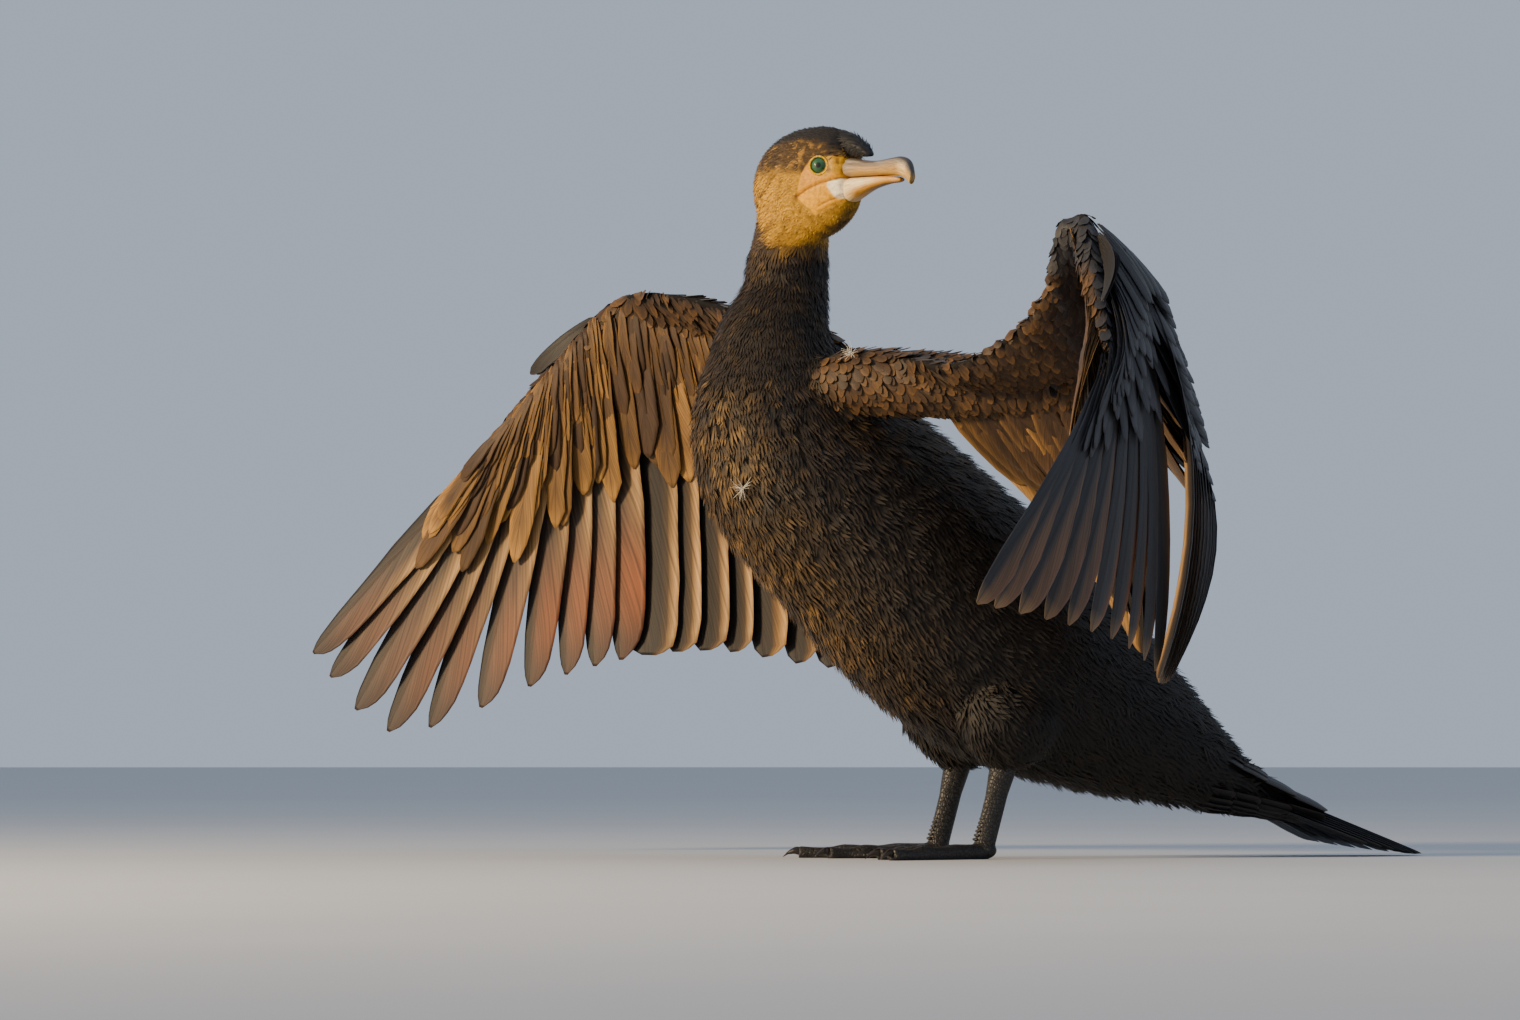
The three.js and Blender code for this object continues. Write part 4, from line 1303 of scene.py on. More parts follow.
@dataclass
class Coat:
    """The small feathers, which grow over the skin in the lie of the coat."""

    place: Place
    markings: Markings
    skin: Skin
    material: Material
    crowding: float = 0.62
    quill_reach: float = 8.0
    eye_clear: float = 7.2
    # Painted glint on the tips of the body's feathers, from dim to bright
    dim_painted_glint: Array = hue("#352b1e")
    bright_painted_glint: Array = hue("#946f34")
    slate: Array = hue("#202023")
    slate_edge: Array = hue("#3c3b3f")
    # Down of the forehead: forward, top, bottom and half width
    brow: tuple = ((2, 22.6, 12, 4.5), (10, 22.9, 8, 5.8), (17, 20.9, 6.5, 6.2), (23, 17.9, 5.6, 6.0),
                   (29, 13.7, 5.0, 5.0), (33, 9.6, 4.9, 3.8), (35, 7.0, 5.0, 2.0))
    umber: Array = hue("#281c12")
    umber_edge: Array = hue("#664720")

    def seeds(self, region: Region, cover: Cover, draw: np.random.Generator) -> tuple[Array, Array]:
        """Evenly scattered roots on one region.

        Args:
            region: Which region.
            cover: How it is covered.
            draw: Where random numbers come from.

        Returns:
            Points on the skin and its normals there.
        """
        corners = self.skin.points[self.skin.triangles]
        here = regions(corners.mean(axis=1)) == list(Region).index(region)
        corners = corners[here]
        crossed = np.cross(corners[:, 1] - corners[:, 0], corners[:, 2] - corners[:, 0])
        area = np.linalg.norm(crossed, axis=1) / 2
        wanted = int(area.sum() / cover.spacing ** 2 * 5)
        chosen = draw.choice(len(area), wanted, p=area / area.sum())
        a, b = draw.random((2, wanted))
        over = a + b > 1
        a[over], b[over] = 1 - a[over], 1 - b[over]
        pick = corners[chosen]
        points = pick[:, 0] + a[:, None] * (pick[:, 1] - pick[:, 0]) + b[:, None] * (pick[:, 2] - pick[:, 0])
        normals = unit(crossed[chosen])
        kept: list[int] = []
        cells: dict[tuple, list[int]] = {}
        keys = np.floor(points / cover.spacing).astype(int)
        least = cover.spacing ** 2 * self.crowding
        for i, (x, y, z) in enumerate(keys.tolist()):
            crowd = (points[j] - points[i] for dx, dy, dz in np.ndindex(3, 3, 3)
                     for j in cells.get((x + dx - 1, y + dy - 1, z + dz - 1), ()))
            if all(gap[0] * gap[0] + gap[1] * gap[1] + gap[2] * gap[2] >= least for gap in crowd):
                kept.append(i)
                cells.setdefault((x, y, z), []).append(i)
        return points[kept], normals[kept]

    def arm(self, region: Region, points: Array) -> tuple[Quills, Array, Array]:
        """The quills of an arm, points' distances from where they leave the bone, and their weights.

        Args:
            region: Which region.
            points: Points in the bird's frame.

        Returns:
            The three, with distances and weights by point and quill.
        """
        quills = self.skin.quills[Side.LEFT if region is Region.LEFT_ARM else Side.RIGHT]
        away = np.linalg.norm(points[:, None] - quills.bone[None], axis=2)
        return quills, away, 1 / (away + self.quill_reach) ** 4

    def lie(self, region: Region, points: Array, normals: Array) -> Array:
        """The way that feathers point at places on the skin.

        Args:
            region: Which region.
            points: Places on the skin.
            normals: The skin's normals there.

        Returns:
            A unit vector along the skin for each.
        """
        if region is Region.HEAD:
            local = to_head(points)
            down = 0.35 + 0.9 * ease(-20, -60, local[:, 0]) + 0.3 * ease(0, -40, local[:, 2])
            way = -HEAD_FORWARD - down[:, None] * UP
        elif region is Region.THIGHS:
            way = Spine.frame(Spine.nearest(points))[1] + np.array([0.0, 0.1, -0.7])
        elif region in ARMS:
            quills, _, weight = self.arm(region, points)
            way = unit(weight @ quills.hang)
        else:
            way = Spine.frame(Spine.nearest(points))[1]
            way = way + 0.35 * UP * -ease(0.3, 1.0, np.abs(points[:, 0]) / 70)[:, None]
        return unit(way - normals * dot(way, normals))

    def colours(self, region: Region, points: Array, normals: Array) -> tuple[Array, Array]:
        """Colours at the root and the tip of each feather; on the body the tips carry a painted golden glint,
        strongest on the front of the breast and fading out on the bird's left flank.

        Args:
            region: Which region.
            points: The roots.
            normals: The skin's normals there.

        Returns:
            Both colours of each feather.
        """
        base, _ = self.markings.read(points)
        draw = mottle(points, 4.0, 8)[:, None]
        if region in ARMS:
            quills, _, weight = self.arm(region, points)
            upper = dot(normals, unit(weight @ quills.normal))[:, 0]
            bent = ease(368, 384, points[:, 2]) * (region is Region.LEFT_ARM)
            share = np.maximum(ease(-0.1, 0.35, upper), bent)
            root = blended(self.umber, self.slate, share) * (0.6 + 0.6 * draw)
            return root, blended(self.umber_edge, self.slate_edge, share) * (0.6 + 0.7 * draw)
        if region is Region.HEAD:
            return base * (0.7 + 0.4 * draw), base * (1.0 + 0.5 * draw)
        # Painted golden glint on the tips: strongest on the front of the breast, fading out on the bird's
        # left flank, weaker on the neck
        light = blended(self.dim_painted_glint, self.bright_painted_glint, mottle(points, 9.0, 9))
        front = ease(20, -110, points[:, 1] - 0.35 * (points[:, 2] - 200))[:, None]
        strength = 0.05 + 0.9 * front * ease(70, 10, points[:, 0])[:, None]
        if region is Region.NECK:
            strength = strength * 0.35
        tip = base * (1 - strength) + light * strength
        return base * 0.5, tip

    def bake_spots(self, region: Region, points: Array) -> Array:
        """Each root's place on an unwrap of the skin round its own axis.

        Args:
            region: Which region.
            points: The roots.

        Returns:
            A place on the map for each.
        """
        if region is Region.HEAD:
            local = to_head(points)
            round_it = np.arctan2(local[:, 1], local[:, 2] + 10) / (2 * np.pi) + 0.5
            return np.column_stack([round_it, (local[:, 0] + 80) / 130]) * 0.96 + 0.02
        if region in ARMS:
            quills, away, _ = self.arm(region, points)
            near = np.argmin(away, axis=1)
            offset = points - quills.bone[near]
            above, below = dot(offset, quills.normal[near]), dot(offset, quills.hang[near])
            round_it = np.arctan2(above[:, 0], below[:, 0])
            return np.column_stack([round_it / (2 * np.pi) + 0.5, near / len(quills.bone)]) * 0.96 + 0.02
        at = Spine.nearest(points)
        centre, _, back, _, _ = Spine.frame(at)
        round_it = np.arctan2(points[:, 0], dot(points - centre, back)[:, 0])
        return np.column_stack([round_it / (2 * np.pi) + 0.5, at / TAIL_ROOT]) * 0.96 + 0.02

    def grow(self, region: Region, name: str, keep: Callable[[Array], Array] | None = None) -> Object:
        """Covers one region.

        Args:
            region: Which region.
            name: The piece's name.
            keep: Says which roots to use, or none for all.

        Returns:
            The piece.
        """
        cover = COVERS[region]
        draw = np.random.default_rng(40 + list(Region).index(region))
        points, normals = self.seeds(region, cover, draw)
        count = len(points)
        way = self.lie(region, points, normals)
        way = turned(way, normals, draw.normal(0, cover.jitter, count))
        length = cover.length * draw.uniform(0.78, 1.22, count)
        width = cover.width * draw.uniform(0.8, 1.2, count)
        rise = cover.rise * draw.uniform(0.55, 1.15, count)
        root_tint, tip_tint = self.colours(region, points, normals)
        # Painted glint: some feathers get their tips lightened further
        glint = (draw.random(count) < cover.glint) * draw.uniform(0.4, 1.0, count)
        _, bare = self.markings.read(points)
        kept = bare < 0.25
        if region is Region.HEAD:
            local = to_head(points)
            kept &= self.clear_of_eyes(local) & ((local[:, 0] < 20.5) | (local[:, 2] > 4.5))
            short = np.interp(local[:, 0], [-40, -5], [1.0, 0.55])
            length, width = length * short, width * np.interp(local[:, 0], [-40, -5], [1.0, 0.75])
            brow = ease(6, 14, local[:, 0]) * ease(4, 8, local[:, 2])
            length = length * (1 + 1.5 * brow)
            rise = rise * short + brow * (0.5 + 1.2 * draw.random(count))
        if region is Region.TRUNK:
            small = 0.62 + 0.38 * ease(NECK_ROOT + 0.2, NECK_ROOT + 1.8, Spine.nearest(points))
            length, width, rise = length * small, width * small, rise * small
        if keep is not None:
            kept &= keep(points)
        chosen = np.flatnonzero(kept)
        spots = self.bake_spots(region, points)
        along = np.array(cover.along)
        centres = np.zeros((len(chosen), len(along), 3))
        ups = np.zeros_like(centres)
        for row, i in enumerate(chosen):
            here = Vector(points[i])
            step = Vector(way[i])
            for k, t in enumerate(along):
                found, normal, _, _ = self.skin.tree.find_nearest(here + step * float(length[i] * t))
                centres[row, k] = found
                ups[row, k] = normal
        ups = unit(ups + ups.mean(axis=1, keepdims=True))
        height = cover.seat + (rise[chosen, None] - cover.seat) * along[None] ** 1.3
        centres += ups * height[..., None]
        ways = unit(np.gradient(centres, axis=1))
        across = unit(np.cross(ups, ways))
        shape = Shape()
        reach = width[chosen, None] / 2 * np.array(cover.outline)[None]
        spread = np.linspace(-1, 1, cover.columns)
        for finger in range(cover.fingers):
            lean = 0.0 if cover.fingers == 1 else (finger / (cover.fingers - 1) - 0.5) * 2
            narrow = 1.0 if cover.fingers == 1 else 0.42
            shift = lean * (reach * 0.55 + cover.fan * length[chosen, None] * along[None] ** 1.5)
            wobble = 1 + draw.normal(0, 0.1, (len(chosen), 1))
            middle = centres + across * (shift * wobble)[..., None] - ups * (np.abs(shift) * 0.12)[..., None]
            ruffle = ups * draw.uniform(-0.25, 0.25, (len(chosen), 1, 1))
            middle = middle + ruffle * cover.rise * along[None, :, None]
            offset = reach[:, :, None] * spread[None, None] * narrow
            drop = 0.22 * reach[:, :, None] * np.abs(spread)[None, None] * narrow
            grid = middle[:, :, None] + across[:, :, None] * offset[..., None]
            grid = grid - ups[:, :, None] * drop[..., None]
            rim = np.clip(along[None, :, None] ** 2 + 0.35 * np.abs(spread)[None, None] ** 3, 0, 1)
            # lit is a painted glint, which lightens the tips of some feathers further toward the tip colour
            lit = glint[chosen, None, None] * (0.6 + 0.4 * draw.random((len(chosen), 1, 1)))
            share = np.clip(rim * (0.35 + lit), 0, 1)
            tint = blended(root_tint[chosen][:, None, None], tip_tint[chosen][:, None, None],
                           np.broadcast_to(share, grid.shape[:3]))
            self.lay(shape, grid, tint, along, spread, spots[chosen])
        slot = "head_plumage" if region is Region.HEAD else "body_plumage"
        return add_piece(shape, name, self.place, self.material, slot)

    def clear_of_eyes(self, local: Array) -> Array:
        """Which points in the head's frame are off the eyes and their rings."""
        clear = np.ones(len(local), bool)
        for side in Side:
            _, ahead, radial = self.skin.round_eye(local, side)
            clear &= (radial > self.eye_clear) | (ahead < 0)
        return clear

    @staticmethod
    def lay(shape: Shape, grid: Array, tint: Array, along: Array, spread: Array, spots: Array) -> None:
        """Adds a sheet of faces for each feather of a grid, with its patch of the baking map.

        Args:
            shape: Where they go.
            grid: Points by feather, row and column.
            tint: Their colours.
            along: How far along the feather each row is.
            spread: How far across it each column is.
            spots: Each feather's place on the baking map.
        """
        count, rows, columns = grid.shape[:3]
        starts = np.arange(count)[:, None, None] * rows * columns
        quads = (starts + sheet_faces(rows, columns)).reshape(-1, 4)
        vane = np.stack(np.meshgrid(along, spread * 0.5 + 0.5, indexing="ij"), -1)[None, ..., ::-1]
        vane = np.broadcast_to(vane, (count, rows, columns, 2))
        patch = spots[:, None, None] + 0.003 * (vane - 0.5)
        shape.add(grid.reshape(-1, 3), quads, tint.reshape(-1, 3), vane.reshape(-1, 2), patch.reshape(-1, 2))

    def forehead(self) -> list[Object]:
        """The full forehead: matted down that overhangs the root of the bill, and tufts over it."""
        at = np.linspace(0, len(self.brow) - 1, 18)
        x, top, low, half = between(self.brow, at).T
        centres = np.column_stack([x, 0 * x, (top + low) / 2])
        rings = from_head(ellipses(centres, REARWARD, UP, half, (top - low) / 2, 28))
        shape = Shape()
        tube(shape, rings, np.broadcast_to(self.markings.forehead * 0.7, rings.shape))
        mesh = shape.mesh("forehead_down", None)
        cap = copy.copy(self.skin)
        cap.points, cap.triangles = read_points(mesh), read_triangles(mesh)
        cap.tree = BVHTree.FromPolygons(cap.points.tolist(), cap.triangles.tolist())
        move_points(mesh, self.place.world(cap.points))
        under = settle(new_object("forehead_down", mesh, self.material), "head_plumage")
        over = Coat(self.place, self.markings, cap, self.material)
        return [under, over.grow(Region.HEAD, "forehead_tufts")]

    def build(self) -> list[Object]:
        """Covers the whole bird."""
        made = [self.grow(Region.HEAD, "head_tufts"), self.grow(Region.NECK, "neck_feathers")]
        for side in Side:
            made.append(self.grow(Region.TRUNK, f"trunk_feathers_{side.value}",
                                  lambda points, sign=side.sign: points[:, 0] * sign >= 0))
        made.append(self.grow(Region.THIGHS, "thigh_feathers"))
        made.append(self.grow(Region.LEFT_ARM, "left_arm_lesser_coverts"))
        made.append(self.grow(Region.RIGHT_ARM, "right_arm_lesser_coverts"))
        return made + self.forehead()


@dataclass
class Vanes:
    """Feathers that are thin closed plates, each row of an array being one feather."""

    root: Array
    tip: Array
    normal: Array
    tip_normal: Array
    toward: Array
    lead: Array
    trail: Array
    bow: Array
    lead_shape: list
    trail_shape: list
    roll: float = math.radians(10)
    sweep: Array | float = 0.0
    thickness: float = 0.5
    shaft: float = 0.9
    camber: float = 0.09
    fray: float = 0.05
    rows: tuple = (0.0, 0.06, 0.12, 0.18, 0.25, 0.33, 0.42, 0.51, 0.6, 0.69, 0.77, 0.84, 0.9, 0.94, 0.97,
                   0.99, 1.0)
    across: tuple = (-1.0, -0.82, -0.6, -0.35, -0.08, 0.0, 0.08, 0.4, 0.72, 1.0)

    def lay(self, shape: Shape, colour: Callable, seed: int, cells: tuple[int, int, int]) -> int:
        """Adds the plates.

        Args:
            shape: Where they go.
            colour: Gives colours from the face (0 upper, 1 under), places across and along,
                and the feather's number.
            seed: Seed of what varies between feathers.
            cells: First cell, cells in a row and rows of cells on the baking map.

        Returns:
            The next free cell.
        """
        draw = np.random.default_rng(seed)
        count = len(self.root)
        t = np.array(self.rows)
        u = np.array(self.across)
        axis = self.tip - self.root
        along = unit(axis)
        handed = np.sign(dot(np.cross(self.normal, along), self.toward))[:, 0]
        lerp = self.normal[:, None] * (1 - t)[None, :, None] + self.tip_normal[:, None] * t[None, :, None]
        ups = unit(lerp - along[:, None] * dot(lerp, along[:, None]))
        ups = turned(ups, along[:, None], (handed * self.roll)[:, None])
        leading = np.cross(ups, along[:, None]) * handed[:, None, None]
        arch = 4 * t * (1 - t)
        sweep = np.broadcast_to(self.sweep, count)
        centre = self.root[:, None] + axis[:, None] * t[None, :, None]
        centre += ups * (self.bow[:, None] * arch)[..., None] + leading * (sweep[:, None] * arch)[..., None]
        lead = np.interp(t, *zip(*self.lead_shape))[None] * self.lead[:, None]
        trail = np.interp(t, *zip(*self.trail_shape))[None] * self.trail[:, None]
        trail = trail * (1 - self.fray * draw.random((count, len(t))) * (t > 0.3))
        lead = lead * (1 - self.fray * 0.5 * draw.random((count, len(t))) * (t > 0.3))
        offset = u * np.where(u > 0, lead[..., None], trail[..., None])
        drop = self.camber * np.abs(offset) * np.abs(u)[None, None]
        ridge = self.shaft * (np.abs(u) < 0.05)[None, None] * (1 - 0.8 * t)[None, :, None]
        half = np.broadcast_to(self.thickness / 2 * (1 - 0.8 * u ** 2)[None, None], offset.shape) + ridge / 2
        base = centre[:, :, None] + leading[:, :, None] * offset[..., None]
        base = base - ups[:, :, None] * drop[..., None]
        skinward = ups[:, :, None] * half[..., None]
        both = np.stack([base + skinward, base - skinward], 1)
        faces = plate_faces(len(t), len(u))
        across, down = np.meshgrid(u, t)
        vane = np.stack([across * 0.5 + 0.5, down], -1)
        cell, wide, tall = cells
        for i in range(count):
            tint = np.stack([colour(side, across, down, i) for side in (0, 1)])
            patch = []
            for _ in range(2):
                corner = np.array([cell % wide / wide, cell // wide / tall])
                patch.append(corner + (0.06 + 0.88 * vane) / [wide, tall])
                cell += 1
            order = faces if handed[i] > 0 else faces[:, ::-1]
            shape.add(both[i].reshape(-1, 3), order, tint.reshape(-1, 3),
                      np.stack([vane, vane]).reshape(-1, 2), np.stack(patch).reshape(-1, 2))
        return cell


PRIMARY_LEAD = [(0, 0.1), (0.1, 0.14), (0.22, 0.85), (0.5, 1), (0.62, 0.85), (0.85, 0.75), (0.96, 0.5),
                (1, 0.08)]
PRIMARY_TRAIL = [(0, 0.06), (0.1, 0.08), (0.26, 0.85), (0.55, 1), (0.72, 0.95), (0.88, 0.85), (0.96, 0.55),
                 (1, 0.1)]
SECONDARY_LEAD = [(0, 0.1), (0.1, 0.14), (0.26, 0.85), (0.8, 1), (0.92, 0.9), (0.97, 0.66), (1, 0.15)]
SECONDARY_TRAIL = [(0, 0.06), (0.1, 0.1), (0.28, 0.85), (0.75, 1), (0.92, 1), (0.98, 0.86), (1, 0.3)]
COVERT_EDGE = [(0, 0.2), (0.2, 0.6), (0.5, 0.95), (0.8, 1), (0.93, 0.75), (1, 0.12)]
SHORT_ROWS = (0.0, 0.15, 0.35, 0.55, 0.75, 0.88, 0.96, 1.0)
SHORT_ACROSS = (-1.0, -0.6, -0.1, 0.0, 0.1, 0.6, 1.0)


@dataclass(frozen=True)
class CovertTier:
    """One tier of wing coverts: how high it lies, how far it reaches, and its half widths."""

    name: str
    face: int
    height: float
    seat: float
    rise: float
    share: float
    lead: float
    trail: float
    step: float


TIERS = (
    CovertTier("greater_upper", 1, 4.5, 4.0, 0, 0.42, 9, 13, 0.6),
    CovertTier("median_upper", 1, 8.0, 7.0, 5, 0.25, 9, 12, 0.5),
    CovertTier("greater_under", -1, 4.5, 4.0, 0, 0.46, 11, 15, 0.62),
    CovertTier("middle_under", -1, 6.5, 5.5, 3, 0.36, 9, 12, 0.55),
    CovertTier("median_under", -1, 8.0, 7.0, 6, 0.28, 8, 11, 0.5),
    CovertTier("small_under", -1, 9.5, 8.0, 9, 0.21, 7.5, 9, 0.45),
    CovertTier("lesser_under", -1, 10.5, 8.5, 12, 0.14, 7, 8, 0.4),
    CovertTier("lesser_upper", 1, 10.5, 8.5, 11, 0.14, 8, 10, 0.45),
)


# How far the upper sides of the left hand's feathers turn outwards, as they droop open
LEFT_HAND_TURN = np.array([0.9, -0.42, 0.0]) * 0.55


@dataclass
class WingFeathers:
    """Flight feathers and their coverts on one wing."""

    place: Place
    wing: Wing
    quills: Quills
    material: Material
    widths: tuple = ((9.0, 21.0), (12.0, 24.0), (13.0, 22.0))
    opened: Array = field(default_factory=lambda: np.zeros(3))
    parts: tuple = ("hand", "forearm", "upper_arm")
    black: Array = hue("#1a1614")
    slate: Array = hue("#232326")
    slate_edge: Array = hue("#38373b")
    sand: Array = hue("#b48d5a")
    taupe: Array = hue("#3c332b")
    rufous: Array = hue("#74401f")
    umber: Array = hue("#3e2c1c")
    tawny: Array = hue("#6e4c2c")
    # Amber: a warm tone on the secondaries' under inner vanes, and the colour of the painted warm light on
    # the under coverts
    amber: Array = hue("#a67a3a")
    shaft: Array = hue("#2c2019")

    def flight_colour(self, part: int, count: int) -> Callable:
        """Colours of the flight feathers of one part of the wing.

        Args:
            part: Which part.
            count: How many feathers it has.

        Returns:
            A function for Vanes.lay.
        """
        draw = np.random.default_rng(7 + part)
        tone = draw.uniform(0.82, 1.18, count)
        warm = draw.uniform(0.0, 1.0, count)

        def colour(side: int, across: Array, down: Array, i: int) -> Array:
            """Colours of one flight feather."""
            edge = np.abs(across)
            if side == 0:
                made = blended(self.slate, self.slate_edge, ease(0.75, 1.0, edge) * 0.7)
                inner = ease(-0.1, -0.7, across) * ease(0.2, 0.6, down)
                if part == 0 and i < 5:
                    made = blended(made, self.tawny, ease(-0.05, -0.5, across) * ease(0.25, 0.6, down) * 0.85)
                made = blended(made, self.taupe, inner * (0.3 + 0.7 * warm[i]))
                made = blended(made, self.rufous, inner * ease(0.5, 0.9, edge) * warm[i] * (part == 0))
                made = blended(made, self.sand, ease(0.93, 1.0, np.maximum(down, edge * down)) * 0.3)
            elif part == 0:
                made = blended(self.taupe, self.sand, ease(-0.4, -0.85, across) * ease(0.8, 0.4, down) * 0.8)
                made = blended(made, self.rufous, ease(0.45, 0.8, down) * ease(0.4, -0.4, across) * warm[i])
                made = blended(made, self.black, ease(0.78, 0.98, down) * 0.8)
                made = blended(made, self.black, ease(0.0, 0.5, across) * 0.8)
            else:
                made = blended(self.black, self.sand, ease(-0.7, -0.9, across))
                made = blended(made, self.black, ease(0.93, 1.0, down) * 0.8)
                made = blended(made, self.amber, ease(-0.3, -0.6, across) * warm[i] * 0.4)
            made = blended(made, self.shaft, (edge < 0.05) * 0.85)
            return made * tone[i]

        return colour

    def covert_colour(self, tier: CovertTier, spots: Array) -> Callable:
        """Colours of one tier of coverts, from where their roots are, with painted warm light in patches on
        the under tiers.

        Args:
            tier: Which tier.
            spots: Roots of its feathers.

        Returns:
            A function for Vanes.lay.
        """
        count = len(spots)
        draw = np.random.default_rng(31 + int(tier.share * 100) + tier.face)
        tone = draw.uniform(0.65, 1.3, count)
        # Painted warm light in patches on the under coverts: it turns their rims and inner vanes toward amber
        patches = ease(0.35, 0.7, mottle(spots, 26.0, 21))
        painted_warm_light = np.clip(draw.random(count) ** (0.8 if tier.share > 0.4 else 1.6) * (0.35 + patches), 0, 1)

        def colour(side: int, across: Array, down: Array, i: int) -> Array:
            """Colours of one covert; the under ones carry painted warm light."""
            rim = np.clip(ease(0.55, 1.0, np.abs(across)) + ease(0.8, 1.0, down), 0, 1)
            if tier.face > 0:
                made = blended(self.slate, self.slate_edge, rim * 0.8)
            else:
                pale = np.full(across.shape, (0.75 if tier.share > 0.4 else 0.25) * painted_warm_light[i])
                inner = blended(self.umber, self.amber, pale * (0.4 + 0.6 * ease(1.0, 0.2, down)))
                made = blended(inner, self.amber, rim * painted_warm_light[i])
            return blended(made, self.shaft, (np.abs(across) < 0.05) * 0.6) * tone[i]

        return colour

    def flight(self) -> list[Object]:
        """The flight feathers, one piece for each part of the wing."""
        made = []
        for part, label in enumerate(self.parts):
            own = np.flatnonzero(self.quills.part == part)
            number = np.arange(len(own))
            lead, trail = self.widths[part]
            shapes = (PRIMARY_LEAD, PRIMARY_TRAIL) if part == 0 else (SECONDARY_LEAD, SECONDARY_TRAIL)
            draw = np.random.default_rng(3 + part)
            wide = draw.uniform(0.9, 1.1, len(own))
            meets = np.where(number == 0, 1.0 + 1.3 * (part == 1), 1.0)
            joins = np.where(number == len(own) - 1, 1.0 + 0.5 * (part == 0), 1.0)
            weight = np.interp(number, [0, 3, 5, 7, 9], [1.0, 0.9, 0.5, 0.4, 0.7])[:, None]
            turn = self.opened * weight * (part == 0)
            vanes = Vanes(
                self.quills.root[own], self.quills.tip[own], unit(self.quills.normal[own] + turn),
                unit(self.quills.tip_normal[own] + turn), self.quills.toward[own], lead * wide * meets,
                trail * wide * joins, self.quills.bow[own], *shapes, sweep=7.0 if part == 0 else 1.5)
            shape = Shape()
            vanes.lay(shape, self.flight_colour(part, len(own)), 11 + part, (0, 8, 4))
            name = f"{self.wing.side.value}_{label}_flight_feathers"
            made.append(add_piece(shape, name, self.place, self.material, "wing_feathers",
                                  f"wing_{self.wing.side.value}_{label}"))
        return made

    def covert_tier(self, tier: CovertTier) -> Object:
        """One tier of coverts along the whole wing.

        Args:
            tier: Which tier.

        Returns:
            The piece.
        """
        quills = self.quills
        total = len(quills.root)
        at = np.arange(0.4, total - 1.0, tier.step)
        draw = np.random.default_rng(int(tier.share * 100) + tier.face)
        at = np.clip(at + draw.normal(0, 0.15 * tier.step, len(at)), 0, total - 1.01)

        def read(values: Array) -> Array:
            """Values at fractional feather numbers."""
            low = np.minimum(np.floor(at).astype(int), total - 2)
            part = (at - low)[:, None]
            return values[low] * (1 - part) + values[low + 1] * part

        root0, tip0, bone, hang = map(read, (quills.root, quills.tip, quills.bone, quills.hang))
        turn = self.opened * (tier.face > 0) * 0.9
        normal, tip_normal = unit(read(quills.normal) + turn), unit(read(quills.tip_normal) + turn)
        toward, bow = unit(read(quills.toward)), read(quills.bow[:, None])
        vary = draw.uniform(0.8, 1.14, (len(at), 1))
        share = tier.share * vary
        lift = tier.face * (tier.seat + np.maximum(tier.face, 0) * bow * 0.14)
        root = bone + normal * lift - hang * tier.rise
        here = unit(normal * (1 - share) + tip_normal * share)
        rest = tier.face * tier.height * draw.uniform(0.9, 1.15, (len(at), 1)) + bow * 4 * share * (1 - share)
        tip = root0 + (tip0 - root0) * share + here * rest
        stray = draw.normal(0, 3.2, (len(at), 1)) * min(tier.share * 3, 1)
        tip = tip + toward * stray + here * tier.face * draw.uniform(-0.6, 1.2, (len(at), 1))
        narrow = np.where(at <= self.wing.counts[0], 0.72, 1.0) * draw.uniform(0.9, 1.1, len(at))
        vanes = Vanes(root, tip, normal, here, toward, tier.lead * narrow, tier.trail * narrow,
                      np.full(len(at), 3.0 * tier.face), COVERT_EDGE, COVERT_EDGE, shaft=0.4,
                      rows=SHORT_ROWS, across=SHORT_ACROSS, fray=0.3, thickness=0.4)
        shape = Shape()
        vanes.lay(shape, self.covert_colour(tier, root), 60, (0, 18, 18))
        name = f"{self.wing.side.value}_{tier.name}_coverts"
        return add_piece(shape, name, self.place, self.material, "wing_feathers")

    def thumb(self) -> Object:
        """The four short stiff feathers of the thumb, on the front edge below the wrist."""
        wrist, end = self.wing.joints[0]
        along = unit(end - wrist)
        ahead = self.quills.toward[0]
        ahead = unit(ahead - along * float(np.dot(ahead, along)))
        above = self.quills.normal[0]
        number = np.arange(4)
        root = wrist + along * (4 + 5 * number)[:, None] + ahead * 5 + above * (2 + 1.2 * number)[:, None]
        reach = np.array([74.0, 66.0, 54.0, 40.0])[:, None]
        tip = root + along * reach + ahead * (15 - 3 * number)[:, None] + above * 3
        ups = np.broadcast_to(above, root.shape)
        side = np.broadcast_to(ahead, root.shape)
        vanes = Vanes(root, tip, ups, ups, side, np.full(4, 4.5), np.full(4, 9.0), np.full(4, 7.0),
                      SECONDARY_LEAD, PRIMARY_TRAIL, sweep=9.0, shaft=0.6, fray=0.12)

        def colour(face: int, across: Array, down: Array, i: int) -> Array:
            """Colours of one thumb feather."""
            edge = ease(0.7, 1.0, np.abs(across))
            return blended(self.black, self.slate_edge, edge * 0.6) * (0.8 + 0.1 * i)

        shape = Shape()
        vanes.lay(shape, colour, 17, (0, 3, 3))
        name = f"{self.wing.side.value}_thumb_feathers"
        return add_piece(shape, name, self.place, self.material, "wing_feathers")

    def build(self) -> list[Object]:
        """Feathers the wing."""
        return self.flight() + [self.covert_tier(tier) for tier in TIERS] + [self.thumb()]


